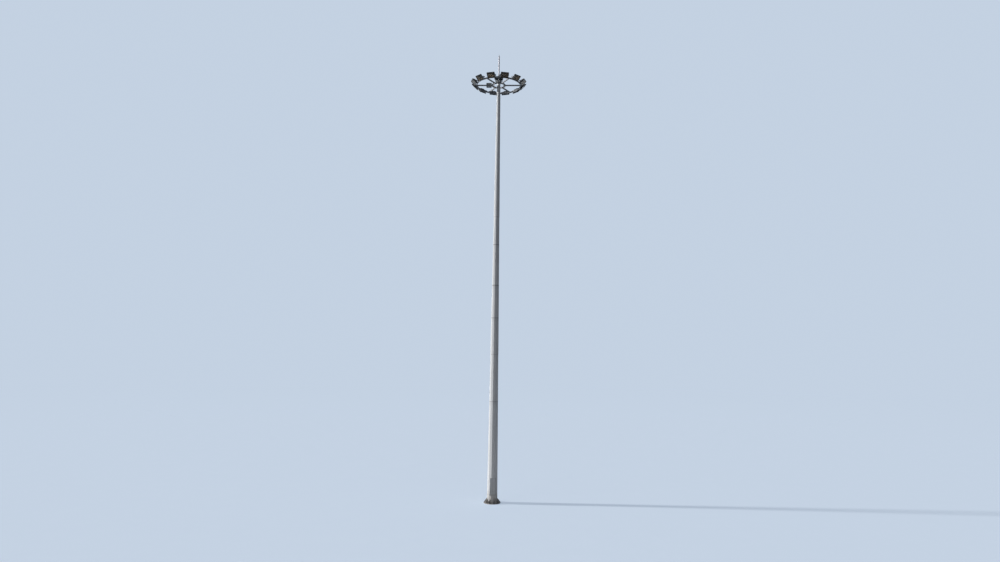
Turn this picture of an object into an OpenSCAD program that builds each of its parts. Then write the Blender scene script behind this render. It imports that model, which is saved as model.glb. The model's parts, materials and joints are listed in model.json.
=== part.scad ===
// High mast floodlight tower.
// A tapered twelve-sided shaft in three slip-jointed lengths stands on a bolted base flange.
// Twelve tilting floodlights sit round a ring that hangs on three ropes below the head,
// and the ring comes down the shaft for service.
// The origin is the centre of the flange's underside, with +Z up the shaft.

/* [Shaft] */
// Height of the shaft's top edge
shaft_top_z = 24700; // [20000:50:30000]
// Width across flats at the foot
foot_flats = 590; // [500:5:680]
// Width across flats at the top
top_flats = 200; // [170:2:250]
// Height of the lower slip joint's edge
low_joint_z = 8400; // [7000:50:9500]
// Height of the upper slip joint's edge
high_joint_z = 16450; // [15000:50:18000]
// Length of each slip joint, in shaft widths
joint_lap = 1.5; // [1.3:0.05:1.8]
// Wall of the lowest length
low_wall = 8; // [6:0.5:10]
// Wall of the middle length
mid_wall = 6; // [5:0.5:8]
// Wall of the top length
top_wall = 6; // [4:0.5:8]
// Turn of the flats away from square
shaft_turn = 4; // [0:1:15]

/* [Base] */
// Flange diameter
flange_d = 960; // [860:10:1100]
// Flange thickness
flange_t = 30; // [20:1:50]
// Distance of the anchor holes' circle from the flange's edge
anchor_edge = 70; // [60:5:90]
// Anchor hole diameter
anchor_hole_d = 42; // [30:1:52]
// Hole in the middle of the flange for the cables
cable_hole_d = 320; // [200:10:400]
// Height of the gusset plates
gusset_h = 220; // [150:5:320]
// Thickness of the gusset plates
gusset_t = 14; // [8:1:20]

/* [Service door] */
// Clear width of the doorway
door_w = 250; // [200:5:300]
// Clear height of the doorway
door_h = 900; // [700:10:1000]
// Height of the doorway's sill
door_z = 480; // [400:10:700]
// Width of the frame's bars
door_bar = 30; // [20:1:50]
// Standoff of the frame from the middle flat
door_stand = 24; // [15:1:50]
// Thickness of the door plate
door_t = 6; // [4:0.5:10]
// Height of the door's pressed panel
door_press = 4; // [2:0.5:8]
// Diameter of the door's lock bosses
lock_d = 36; // [24:1:50]

/* [Lamp ring] */
// Drop of the ring's middle plane below the shaft's top, as stored
ring_drop = 200; // [150:10:600]
// Outer face radius of the outer ring
ring_out_r = 1335; // [1200:5:1600]
// Inner face radius of the inner ring
ring_in_r = 365; // [340:5:420]
// Height of both channel rings
ring_h = 80; // [60:2:120]
// Flange width of both channel rings
ring_w = 45; // [35:1:60]
// Wall of both channel rings
ring_t = 5; // [4:0.5:8]
// Turn of the ring, the lamps and the head away from square
ring_turn = -2.4; // [-15:0.1:15]
// Number of spokes
spoke_count = 6; // [3:1:12]
// Width of a spoke
spoke_w = 50; // [40:1:60]
// Wall of a spoke
spoke_t = 4; // [3:0.5:6]

/* [Floodlights] */
// Number of floodlights
lamp_count = 12; // [6:1:12]
// Tilt of the beams below level, as stored
lamp_tilt = 45; // [25:1:60]
// Radius of the tilt pins from the mast's axis
lamp_r = 1500; // [1350:5:1800]
// Height of the tilt pins above the ring's middle plane
lamp_rise = 80; // [40:5:120]
// Width of the front frame
lamp_w = 480; // [400:5:520]
// Height of the front frame
lamp_h = 350; // [300:5:400]
// Depth of the front frame
rim_d = 45; // [30:1:60]
// Depth of the tapered back
back_d = 115; // [90:1:125]
// Height of the cooling fins behind the back
fin_back = 12; // [6:1:14]
// Height of the cooling fins on the slopes
fin_slope = 9; // [4:1:10]
// Number of cooling fins
fin_count = 9; // [3:2:9]
// Thickness of a cooling fin
fin_t = 5; // [3:0.5:8]
// Casting wall of the housing
lamp_wall = 5; // [3:0.5:8]
// Thickness of the front glass
glass_t = 5; // [4:0.5:8]
// Diameter of the tilt pins
pin_d = 12; // [8:1:16]

/* [Yokes] */
// Height of the yoke's flat bar
yoke_h = 50; // [40:1:60]
// Thickness of the yoke's flat bar
yoke_t = 6; // [4:0.5:10]
// Thickness of the tab that holds a yoke
tab_t = 8; // [6:0.5:12]
// Width of the tab that holds a yoke
tab_w = 90; // [60:5:140]

/* [Head] */
// Number of hoist ropes
rope_count = 3; // [3:1:3]
// Hoist rope diameter
rope_d = 10; // [6:1:12]
// Height of the sheave axles above the shaft's top
sheave_rise = 150; // [130:5:200]
// Distance of the sheave axles from the mast's axis
sheave_r = 155; // [140:5:180]
// Radius of the rope's centre line on a sheave
sheave_pitch_r = 85; // [70:1:90]
// Hood radius
hood_r = 268; // [255:1:320]
// Lightning rod diameter
rod_d = 76; // [40:1:90]
// Height of the lightning rod's tip above the shaft's top
rod_rise = 1735; // [1000:5:3000]

/* [Hidden] */
$fn = 48;
seat = 0.3;
eps = 1;
anchor_pcd = flange_d - 2 * anchor_edge;
ring_z = shaft_top_z - ring_drop;
rod_top_z = shaft_top_z + rod_rise;
half_step = 15;
flat_count = 12;
mid_grow = 2 * (mid_wall + seat);
top_grow = mid_grow + 2 * (top_wall + seat);
taper = (foot_flats + top_grow - top_flats) / shaft_top_z;
low_lap = joint_lap * core_flats(low_joint_z);
high_lap = joint_lap * core_flats(high_joint_z);
low_end_z = low_joint_z + low_lap;
mid_end_z = high_joint_z + high_lap;

front_y = core_flats(door_z) / 2 + door_stand;

spoke_h = ring_h - 2 * ring_t - 2 * seat;
lamp_step = 360 / lamp_count;
lamp_first = lamp_step / 2 + ring_turn;
spoke_step = 360 / spoke_count;

rim_back_x = 15;
rim_front_x = rim_back_x + rim_d;
rim_wall = 12;
rim_r = 24;
glass_corner = 14;
rim_step = 10;
back_corner = 20;
back_x = rim_back_x - back_d;
back_w = 250;
back_h = 170;
fin_pitch = 25;
gland_x = -25;
gland_y = 62.5;
gland_boss_d = 30;
gland_boss_h = 8;
glass_x = rim_front_x - 15;
yoke_gap = 12;
arm_y = lamp_w / 2 + yoke_gap;
bar_r = ring_out_r + 2 * seat + tab_t;
yoke_bend_r = 14;
yoke_bolt_y = 28;
yoke_bolt_d = 14;
pin_fit = 0.05;
boss_d = 44;

plate_t = 16;
head_plate_r = 165;
spigot_h = 70;
spigot_r = top_flats / 2 - top_wall - seat;
rope_hole_r = sheave_r - sheave_pitch_r + rope_d / 2 + 7;
sheave_z = shaft_top_z + sheave_rise;
sheave_r_out = sheave_pitch_r + 10;
sheave_w = 24;
axle_d = 20;
cheek_t = 8;
cheek_gap = sheave_w / 2 + 2;
cheek_foot_r = 95;
eye_r = 30;
washer_t = 6;
keeper_d = 10;
cap_z = sheave_z + sheave_r_out + 15;
cap_t = 10;
cap_r = 150;
hood_t = 4;
skirt_low = cap_z - 55;
skirt_top = cap_z - 15;
cone_top = cap_z + 120;
rope_first = 30 + ring_turn;
rope_step = 360 / rope_count;
lug_r = ring_in_r - 40;
lug_z = ring_z + 20;
lug_dx = lug_r - sheave_r;
lug_dz = sheave_z - lug_z;
lug_far = sqrt(lug_dx * lug_dx + lug_dz * lug_dz);
rope_lean = acos(sheave_pitch_r / lug_far) - atan2(lug_dz, lug_dx);
rope_run = sqrt(lug_far * lug_far - sheave_pitch_r * sheave_pitch_r);
socket_len = 90;
socket_d = 24;

roller_d = 56;
roller_w = 80;
roller_r = ring_in_r - roller_d / 2 - 4;
roller_axle_d = 16;

box_len = 320;
box_w = 170;
box_h = 240;
box_drop = 40;

winch_z = 800;
drum_r = 75;
drum_w = 240;
drum_flange_t = 8;
coupling_z = 1180;
coupling_t = 20;

// Width across flats of the lowest length's outer face at height z.
function core_flats(z) = foot_flats - taper * z;
// Inner radius of the hood's cone at height z.
function hood_in_r(z) =
    hood_r - hood_t - (z - skirt_top + hood_t) * (hood_r - hood_t - rod_d / 2) / (cone_top - skirt_top);
// Half height of a housing's tapered back at depth x.
function taper_half(x) =
    back_h / 2 + (lamp_h / 2 - rim_step - back_h / 2) * (x - back_x) / back_d;
// Angle of floodlight i round the mast.
function lamp_angle(i) = lamp_first + (i - 1) * lamp_step;

// Solid twelve-sided taper between two heights, grown by an amount across flats.
module taper_solid(z1, z2, grow) {
    r1 = (core_flats(z1) + grow) / 2 / cos(half_step);
    r2 = (core_flats(z2) + grow) / 2 / cos(half_step);
    rotate([0, 0, shaft_turn + half_step])
        translate([0, 0, z1])
            cylinder(h = z2 - z1, r1 = r1, r2 = r2, $fn = 12);
}

// One length of the shaft as an open tube.
module shaft_length(z1, z2, grow, wall) {
    difference() {
        taper_solid(z1, z2, grow);
        taper_solid(z1 - eps, z2 + eps, grow - 2 * wall);
    }
}

// Rectangle with rounded corners, centred.
module round_rect(w, h, r) {
    square([w - 2 * r, h], center = true);
    square([w, h - 2 * r], center = true);
    for (x = [-1, 1], y = [-1, 1])
        translate([x * (w / 2 - r), y * (h / 2 - r)])
            circle(r = r);
}

module base_flange() {
    color([0.62, 0.65, 0.68])
        difference() {
            cylinder(h = flange_t, d = flange_d, $fn = 96);
            translate([0, 0, -eps])
                cylinder(h = flange_t + 2 * eps, d = cable_hole_d);
            for (i = [0 : flat_count - 1])
                rotate([0, 0, shaft_turn + half_step + i * 30])
                    translate([anchor_pcd / 2, 0, -eps])
                        cylinder(h = flange_t + 2 * eps, d = anchor_hole_d);
        }
}

// Stiffener plates from the flange's top to the middle of each flat.
module base_gussets() {
    edge_gap = 20;
    behind_flat = 20;
    toe_h = 40;
    tip_w = 25;
    cut_h = 1000;
    root = foot_flats / 2 - behind_flat;
    reach = flange_d / 2 - edge_gap;
    color([0.62, 0.65, 0.68])
        for (i = [0 : flat_count - 1])
            rotate([0, 0, shaft_turn + i * 30])
                difference() {
                    translate([0, gusset_t / 2, 0])
                        rotate([90, 0, 0])
                            linear_extrude(gusset_t)
                                polygon([
                                    [root, flange_t],
                                    [reach, flange_t],
                                    [reach, flange_t + toe_h],
                                    [foot_flats / 2 + tip_w, flange_t + gusset_h],
                                    [root, flange_t + gusset_h]
                                ]);
                    rotate([0, 0, -shaft_turn])
                        taper_solid(0, cut_h, 2 * seat);
                }
}

module shaft_lower() {
    color([0.66, 0.7, 0.74])
        difference() {
            shaft_length(flange_t, low_end_z, 0, low_wall);
            rotate([0, 0, shaft_turn])
                translate([-door_w / 2, -foot_flats, door_z])
                    cube([door_w, foot_flats, door_h]);
        }
}

module shaft_middle() {
    color([0.66, 0.7, 0.74])
        shaft_length(low_joint_z, mid_end_z, mid_grow, mid_wall);
}

module shaft_upper() {
    color([0.66, 0.7, 0.74])
        shaft_length(high_joint_z, shaft_top_z, top_grow, top_wall);
}

// Frame welded round the doorway, its back cut to the flats.
module door_frame() {
    outer_w = door_w + 2 * door_bar;
    outer_h = door_h + 2 * door_bar;
    cut_h = door_z + 2 * door_h;
    color([0.6, 0.63, 0.66])
        difference() {
            rotate([0, 0, shaft_turn])
                translate([-outer_w / 2, -front_y, door_z - door_bar])
                    cube([outer_w, front_y / 2, outer_h]);
            rotate([0, 0, shaft_turn])
                translate([-door_w / 2, -front_y - eps, door_z])
                    cube([door_w, front_y, door_h]);
            taper_solid(0, cut_h, 2 * seat);
        }
}

// Flat cover with a pressed panel and two key locks, each with a three-sided socket.
module service_door() {
    edge_gap = 5;
    corner_r = 12;
    border = 35;
    lock_rise = 8;
    lock_inset = 80;
    outer_w = door_w + 2 * (door_bar - edge_gap);
    outer_h = door_h + 2 * (door_bar - edge_gap);
    lock_out = door_press + lock_rise;
    lock_y = door_h / 2 - lock_inset;
    color([0.58, 0.61, 0.64])
        rotate([0, 0, shaft_turn])
            translate([0, -front_y - seat, door_z + door_h / 2])
                rotate([90, 0, 0])
                    difference() {
                        union() {
                            linear_extrude(door_t)
                                round_rect(outer_w, outer_h, corner_r);
                            linear_extrude(door_t + door_press)
                                round_rect(outer_w - 2 * border, outer_h - 2 * border, 2 * corner_r);
                            for (side = [-1, 1])
                                translate([0, side * lock_y, 0])
                                    cylinder(h = door_t + lock_out, d = lock_d);
                        }
                        for (side = [-1, 1])
                            translate([0, side * lock_y, door_t])
                                cylinder(h = lock_out + eps, d = lock_d / 2, $fn = 3);
                    }
}

// Hoist winch on a shelf inside the foot of the shaft, its drum beside the mast's axis.
module winch() {
    side_t = 12;
    side_h = 260;
    side_w = 200;
    shelf_z = winch_z - side_h / 2;
    side_x = drum_w / 2 + 2;
    drum_flange_r = drum_r + 30;
    color([0.35, 0.38, 0.4]) {
        taper_solid(shelf_z - side_t, shelf_z, -2 * low_wall - 2 * seat);
        translate([0, drum_r + rope_d / 2 + seat, 0]) {
            for (x = [-side_x - side_t, side_x])
                translate([x, -side_w / 2, shelf_z - eps])
                    cube([side_t, side_w, side_h + eps]);
            translate([-side_x - eps, 0, winch_z])
                rotate([0, 90, 0])
                    cylinder(h = 2 * side_x + 2 * eps, r = drum_r);
            for (x = [-drum_w / 2, drum_w / 2 - drum_flange_t])
                translate([x, 0, winch_z])
                    rotate([0, 90, 0])
                        cylinder(h = drum_flange_t, r = drum_flange_r);
        }
    }
}

// Round plate on the shaft's top edge, with a spigot that fits inside it.
module head_plate() {
    spigot_wall = 5;
    hole_r = min(rope_hole_r, spigot_r - spigot_wall);
    color([0.5, 0.53, 0.56])
        translate([0, 0, shaft_top_z + seat])
            difference() {
                union() {
                    cylinder(h = plate_t, r = head_plate_r, $fn = 64);
                    translate([0, 0, -spigot_h])
                        cylinder(h = spigot_h + eps, r = spigot_r, $fn = 64);
                }
                translate([0, 0, -spigot_h - eps])
                    cylinder(h = spigot_h + plate_t + 2 * eps, r = hole_r);
            }
}

// Pairs of cheek plates with an axle and a rope keeper, one pair for each rope, under a
// round cap plate whose three arms carry the hood.
module sheave_cheeks() {
    arm_w = 30;
    arm_t = 5;
    arm_r = cap_r - 20;
    arm_end = hood_in_r(cap_z + cap_t) - seat;
    color([0.3, 0.32, 0.35]) {
        for (i = [0 : rope_count - 1])
            rotate([0, 0, rope_first + i * rope_step])
                sheave_cheek_pair();
        translate([0, 0, cap_z])
            cylinder(h = cap_t, r = cap_r);
        for (i = [0 : rope_count - 1])
            rotate([0, 0, rope_first + (i + 0.5) * rope_step])
                translate([arm_r, -arm_w / 2, cap_z + cap_t - arm_t])
                    cube([arm_end - arm_r, arm_w, arm_t]);
    }
}

// Two cheeks with a lightening hole each, pierced by the axle and joined by the keeper.
module sheave_cheek_pair() {
    inset = 5;
    top_r = 80;
    hole_r = 15;
    washer_d = axle_d + 14;
    keeper_r = sheave_r - 14;
    base_z = shaft_top_z + plate_t + 2 * seat;
    top_z = cap_z - seat;
    hole_drop = 62;
    keeper_z = sheave_z + sheave_r_out + keeper_d / 2 + 2;
    outer = cheek_gap + cheek_t;
    difference() {
        union() {
            across(outer, cheek_t)
                union() {
                    polygon([
                        [cheek_foot_r, base_z], [head_plate_r - inset, base_z],
                        [sheave_r + eye_r, sheave_z], [cap_r - inset, top_z], [top_r, top_z]
                    ]);
                    translate([sheave_r, sheave_z])
                        circle(r = eye_r);
                }
            across(outer + washer_t, washer_t + eps)
                translate([sheave_r, sheave_z])
                    circle(d = washer_d);
        }
        across(outer + eps, cheek_t + 2 * eps)
            translate([cheek_foot_r + hole_r + 2, sheave_z - hole_drop])
                circle(r = hole_r);
    }
    translate([sheave_r, outer, sheave_z])
        rotate([90, 0, 0])
            cylinder(h = 2 * outer, d = axle_d);
    translate([keeper_r, outer - eps, keeper_z])
        rotate([90, 0, 0])
            cylinder(h = 2 * (outer - eps), d = keeper_d);
}

// Extrudes an outline drawn in X and Z to a plate on each side of the sheave.
module across(far_y, t) {
    for (y = [far_y, t - far_y])
        translate([0, y, 0])
            rotate([90, 0, 0])
                linear_extrude(t)
                    children();
}

// Grooved rope wheels with a hub, a thin web and six round holes.
module sheaves() {
    color([0.25, 0.27, 0.3])
        for (i = [0 : rope_count - 1])
            rotate([0, 0, rope_first + i * rope_step])
                translate([sheave_r, 0, sheave_z])
                    rotate([90, 0, 0])
                        sheave_wheel();
}

module sheave_wheel() {
    hub_r = 24;
    hub_w = 2 * cheek_gap - 1;
    web_t = 8;
    rim_in = sheave_pitch_r - rope_d - 4;
    groove_r = rope_d / 2 + seat;
    mouth = rope_d / 2 + 3;
    hole_r = (rim_in - hub_r) / 2 - 9;
    difference() {
        rotate_extrude($fn = 64)
            difference() {
                union() {
                    translate([axle_d / 2 + pin_fit, -hub_w / 2])
                        square([hub_r - axle_d / 2 - pin_fit, hub_w]);
                    translate([hub_r - eps, -web_t / 2])
                        square([rim_in - hub_r + 2 * eps, web_t]);
                    translate([rim_in, -sheave_w / 2])
                        square([sheave_r_out - rim_in, sheave_w]);
                }
                translate([sheave_pitch_r, 0])
                    circle(r = groove_r);
                translate([sheave_pitch_r, 0])
                    polygon([
                        [0, -groove_r], [2 * rope_d, -mouth], [2 * rope_d, mouth], [0, groove_r]
                    ]);
            }
        for (k = [0 : 5])
            rotate([0, 0, k * 60])
                translate([(hub_r + rim_in) / 2, 0, -web_t])
                    cylinder(h = 2 * web_t, r = hole_r);
    }
}

// Thin rain hood: a skirt with a rolled edge, a cone, and a collar round the lightning rod.
module rain_hood() {
    collar_r = rod_d / 2 + seat;
    collar_h = 40;
    roll_r = 5;
    band_rise = 15;
    band_w = 14;
    band_h = 16;
    color([0.42, 0.45, 0.48])
        rotate_extrude($fn = 96) {
            polygon([
                [hood_r - hood_t, skirt_low], [hood_r, skirt_low], [hood_r, skirt_top],
                [collar_r + hood_t, cone_top], [collar_r + hood_t, cone_top + collar_h],
                [collar_r, cone_top + collar_h], [collar_r, cone_top - hood_t],
                [hood_r - hood_t, skirt_top - hood_t]
            ]);
            translate([hood_r - hood_t / 2, skirt_low])
                circle(r = roll_r, $fn = 24);
            translate([collar_r, cone_top + band_rise])
                square([band_w, band_h]);
        }
}

// Base plate and straight tube of the lightning rod, drawn to a point.
module lightning_rod() {
    tip = 160;
    tip_r = 4;
    foot_r = 70;
    foot_t = 12;
    base_z = cap_z + cap_t + seat;
    color([0.72, 0.72, 0.76])
        rotate_extrude($fn = 32)
            polygon([
                [0, base_z], [foot_r, base_z], [foot_r, base_z + foot_t], [rod_d / 2, base_z + foot_t],
                [rod_d / 2, rod_top_z - tip], [tip_r, rod_top_z], [0, rod_top_z]
            ]);
}

// Fixed part of each rope: over its sheave, then down inside the shaft to a round plate
// that couples the three to the single rope of the winch.
module rope_runs() {
    run_r = sheave_r - sheave_pitch_r;
    coupling_edge = 20;
    color([0.3, 0.3, 0.3]) {
        for (i = [0 : rope_count - 1])
            rotate([0, 0, rope_first + i * rope_step])
                translate([sheave_r, 0, sheave_z])
                    rotate([90, 0, 0])
                        rotate([0, 0, rope_lean])
                            rotate_extrude(angle = 180 - rope_lean, $fn = 64)
                                translate([sheave_pitch_r, 0])
                                    circle(d = rope_d, $fn = 16);
        for (i = [0 : rope_count - 1])
            rotate([0, 0, rope_first + i * rope_step])
                translate([run_r, 0, coupling_z])
                    cylinder(h = sheave_z - coupling_z - seat, d = rope_d, $fn = 16);
        translate([0, 0, coupling_z - coupling_t / 2])
            cylinder(h = coupling_t, r = run_r + coupling_edge);
        translate([0, 0, winch_z])
            cylinder(h = coupling_z - winch_z, d = rope_d, $fn = 16);
    }
}

// Places its children at the foot of a rope, with Z up along the rope.
module along_rope() {
    translate([lug_r, 0, lug_z])
        rotate([0, -rope_lean, 0])
            children();
}

// Free part of each rope, from its sheave out and down to the lamp ring.
module hoist_ropes() {
    color([0.45, 0.45, 0.45])
        for (i = [0 : rope_count - 1])
            rotate([0, 0, rope_first + i * rope_step])
                along_rope()
                    translate([0, 0, socket_len])
                        cylinder(h = rope_run - socket_len - seat, d = rope_d, $fn = 16);
}

// Channel ring with its flanges turned inwards.
module outer_ring() {
    color([0.68, 0.71, 0.74])
        rotate_extrude($fn = 128)
            translate([0, ring_z - ring_h / 2])
                difference() {
                    translate([ring_out_r - ring_w, 0])
                        square([ring_w, ring_h]);
                    translate([ring_out_r - ring_w - eps, ring_t])
                        square([ring_w - ring_t + eps, ring_h - 2 * ring_t]);
                }
}

// Channel ring with its flanges turned outwards.
module inner_ring() {
    color([0.68, 0.71, 0.74])
        rotate_extrude($fn = 96)
            translate([0, ring_z - ring_h / 2])
                difference() {
                    translate([ring_in_r, 0])
                        square([ring_w, ring_h]);
                    translate([ring_in_r + ring_t, ring_t])
                        square([ring_w, ring_h - 2 * ring_t]);
                }
}

// Hollow spokes, each held between the flanges of both rings.
module ring_spokes() {
    in_r = ring_in_r + ring_t + seat;
    out_r = ring_out_r - ring_t - seat;
    color([0.6, 0.63, 0.67])
        for (i = [0 : spoke_count - 1])
            rotate([0, 0, ring_turn + i * spoke_step])
                intersection() {
                    translate([0, 0, ring_z - spoke_h / 2])
                        difference() {
                            translate([0, -spoke_w / 2, 0])
                                cube([ring_out_r, spoke_w, spoke_h]);
                            translate([-eps, -spoke_w / 2 + spoke_t, spoke_t])
                                cube([ring_out_r + 2 * eps, spoke_w - 2 * spoke_t, spoke_h - 2 * spoke_t]);
                        }
                    translate([0, 0, ring_z - ring_h])
                        difference() {
                            cylinder(h = 2 * ring_h, r = out_r, $fn = 128);
                            translate([0, 0, -eps])
                                cylinder(h = 2 * ring_h + 2 * eps, r = in_r, $fn = 96);
                        }
                }
}

// Cheeks and axle of each guide roller, on the inner ring's inner face.
module roller_brackets() {
    t = 6;
    h = 44;
    end_d = roller_axle_d + 10;
    inner = roller_w / 2 + 2;
    color([0.4, 0.42, 0.45])
        for (i = [0 : spoke_count - 1])
            rotate([0, 0, ring_turn + i * spoke_step])
                difference() {
                    translate([roller_r, 0, ring_z])
                        rotate([90, 0, 0]) {
                            for (side = [-1, 1])
                                translate([0, 0, side * (inner + t / 2) - t / 2])
                                    linear_extrude(t) {
                                        circle(d = h);
                                        translate([0, -h / 2])
                                            square([roller_d, h]);
                                    }
                            translate([0, 0, -inner - t])
                                cylinder(h = 2 * (inner + t), d = roller_axle_d);
                            for (side = [-1, 1])
                                translate([0, 0, side * (inner + 1.5 * t) - t / 2])
                                    cylinder(h = t, d = end_d);
                        }
                    translate([0, 0, ring_z - ring_h])
                        difference() {
                            cylinder(h = 2 * ring_h, r = ring_in_r + 2 * ring_w);
                            translate([0, 0, -eps])
                                cylinder(h = 2 * ring_h + 2 * eps, r = ring_in_r - seat, $fn = 96);
                        }
                }
}

// Nylon rollers with chamfered ends and two grooves that let grit out.
module guide_rollers() {
    chamfer = 5;
    groove_r = 3;
    color([0.88, 0.88, 0.85])
        for (i = [0 : spoke_count - 1])
            rotate([0, 0, ring_turn + i * spoke_step])
                translate([roller_r, roller_w / 2, ring_z])
                    rotate([90, 0, 0])
                        rotate_extrude()
                            difference() {
                                translate([roller_axle_d / 2 + pin_fit, 0])
                                    square([(roller_d - roller_axle_d) / 2 - pin_fit, roller_w]);
                                for (z = [0, roller_w])
                                    translate([roller_d / 2, z])
                                        circle(r = chamfer, $fn = 4);
                                for (z = [roller_w / 3, 2 * roller_w / 3])
                                    translate([roller_d / 2, z])
                                        circle(r = groove_r, $fn = 24);
                            }
}

// Lug on the inner ring with the socket that ends each hoist rope.
module rope_lugs() {
    t = 12;
    root_h = ring_h / 2 - 5;
    nose_h = 10;
    nose_r = lug_r - 16;
    shank_r = socket_d / 2 + 3;
    color([0.4, 0.42, 0.45])
        for (i = [0 : rope_count - 1])
            rotate([0, 0, rope_first + i * rope_step]) {
                difference() {
                    translate([0, t / 2, 0])
                        rotate([90, 0, 0])
                            linear_extrude(t)
                                polygon([
                                    [ring_in_r, ring_z - root_h], [ring_in_r, ring_z + root_h],
                                    [lug_r + 8, ring_z + root_h], [nose_r, ring_z + root_h - nose_h],
                                    [nose_r, ring_z + root_h - 3 * nose_h]
                                ]);
                    translate([0, 0, ring_z - ring_h])
                        difference() {
                            cylinder(h = 2 * ring_h, r = ring_in_r + 2 * ring_w);
                            translate([0, 0, -eps])
                                cylinder(h = 2 * ring_h + 2 * eps, r = ring_in_r - seat, $fn = 96);
                        }
                }
                along_rope()
                    rotate_extrude($fn = 32)
                        polygon([
                            [0, -14], [10, -14], [shank_r, -8], [shank_r, 30],
                            [socket_d / 2, 36], [rope_d / 2 + 3, socket_len], [0, socket_len]
                        ]);
            }
}

// Sealed box for the cable joints, hooked over one spoke by two straps, with its lid away
// from the spoke and a row of gland bosses below.
module junction_box() {
    ring_gap = 4;
    corner_r = 10;
    lid_r = 14;
    lid_t = 14;
    lid_step = 5;
    strap_w = 30;
    strap_t = 4;
    strap_drop = 30;
    boss_h = 12;
    boss_d = 32;
    boss_step = 46;
    strap_z = box_drop + spoke_h / 2 + seat;
    over_y = spoke_w + 2 * seat;
    middle_x = -ring_in_r - ring_w - ring_gap - box_len / 2;
    boss_y = (lid_t - box_w) / 2;
    boss_z = lid_step - boss_h - box_h / 2;
    color([0.45, 0.45, 0.42])
        rotate([0, 0, ring_turn])
            translate([middle_x, -spoke_w / 2 - seat, ring_z - box_drop]) {
                rotate([90, 0, 0]) {
                    linear_extrude(box_w - lid_t)
                        round_rect(box_len - 2 * lid_step, box_h - 2 * lid_step, corner_r);
                    translate([0, 0, box_w - lid_t])
                        linear_extrude(lid_t)
                            round_rect(box_len, box_h, lid_r);
                }
                for (x = [-box_len / 3, box_len / 3])
                    translate([x - strap_w / 2, 0, strap_z]) {
                        translate([0, -eps, 0])
                            cube([strap_w, over_y + strap_t + eps, strap_t]);
                        translate([0, over_y, -strap_drop])
                            cube([strap_w, strap_t, strap_drop + eps]);
                    }
                for (k = [0 : 5])
                    translate([(k - 2.5) * boss_step, boss_y, boss_z])
                        cylinder(h = boss_h + eps, d = boss_d);
            }
}

// Tabs welded to the outer ring behind each yoke, each with a rib on the ring's top.
module lamp_tabs() {
    tab_low = -ring_h / 2 + 5;
    tab_top = lamp_rise + yoke_h / 2 + 10;
    rib_foot = ring_h / 2 + seat;
    rib_top = tab_top - 8;
    rib_end = 6 - ring_w;
    rib_step = 10;
    color([0.6, 0.63, 0.66])
        for (i = [1 : lamp_count])
            rotate([0, 0, lamp_angle(i)])
                translate([ring_out_r + seat, 0, ring_z]) {
                    difference() {
                        translate([0, -tab_w / 2, tab_low])
                            cube([tab_t, tab_w, tab_top - tab_low]);
                        yoke_bolt_holes(tab_t);
                    }
                    translate([eps, tab_t / 2, 0])
                        rotate([90, 0, 0])
                            linear_extrude(tab_t)
                                polygon([
                                    [0, rib_foot], [0, rib_top], [-rib_step, rib_top],
                                    [rib_end, rib_foot + rib_step], [rib_end, rib_foot]
                                ]);
                }
}

// Cutters for the two bolts that hold a yoke, level with the tilt pins.
module yoke_bolt_holes(depth) {
    for (side = [-1, 1])
        translate([-eps, side * yoke_bolt_y, lamp_rise])
            rotate([0, 90, 0])
                cylinder(h = depth + 2 * eps, d = yoke_bolt_d);
}

// Flat-bar yokes that hold each floodlight by its two tilt pins.
module lamp_yokes() {
    color([0.5, 0.52, 0.54])
        for (i = [1 : lamp_count])
            rotate([0, 0, lamp_angle(i)])
                translate([0, 0, ring_z])
                    yoke();
}

// Bent bar with round ends: its plan outline crossed with its side outline.
module yoke() {
    difference() {
        intersection() {
            translate([0, 0, lamp_rise - yoke_h / 2])
                linear_extrude(yoke_h)
                    yoke_plan();
            translate([0, arm_y + 2 * yoke_t, lamp_rise])
                rotate([90, 0, 0])
                    linear_extrude(2 * arm_y + 4 * yoke_t) {
                        translate([lamp_r, 0])
                            circle(d = yoke_h);
                        translate([bar_r - eps, -yoke_h / 2])
                            square([lamp_r - bar_r + eps, yoke_h]);
                    }
        }
        translate([lamp_r, arm_y + 2 * yoke_t, lamp_rise])
            rotate([90, 0, 0])
                cylinder(h = 2 * arm_y + 4 * yoke_t, d = pin_d + 2 * pin_fit);
        translate([bar_r, 0, 0])
            yoke_bolt_holes(yoke_t);
    }
}

// U of the bent bar seen from above.
module yoke_plan() {
    reach = 2 * (lamp_r + yoke_h - bar_r);
    difference() {
        translate([bar_r + reach / 2, 0])
            round_rect(reach, 2 * (arm_y + yoke_t), yoke_bend_r + yoke_t);
        translate([bar_r + yoke_t + reach / 2, 0])
            round_rect(reach, 2 * arm_y, yoke_bend_r);
    }
}

// Places its children at floodlight i's tilt pins, with X along the beam.
module at_lamp(i) {
    rotate([0, 0, lamp_angle(i)])
        translate([lamp_r, 0, ring_z + lamp_rise])
            rotate([0, lamp_tilt, 0])
                children();
}

// Plate across the beam from x1 to x2, with rounded corners.
module beam_plate(x1, x2, w, h, r) {
    translate([x1, 0, 0])
        rotate([90, 0, 90])
            linear_extrude(x2 - x1)
                round_rect(w, h, r);
}

// Solid of the tapered back, shrunk by an amount on each side.
module back_taper(shrink) {
    hull() {
        beam_plate(rim_back_x - 0.5 + shrink / 10, rim_back_x + shrink / 10,
            lamp_w - 2 * (rim_step + shrink), lamp_h - 2 * (rim_step + shrink), back_corner, $fn = 24);
        beam_plate(back_x + shrink, back_x + shrink + 0.5,
            back_w - 2 * shrink, back_h - 2 * shrink, back_corner, $fn = 24);
    }
}

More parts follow.
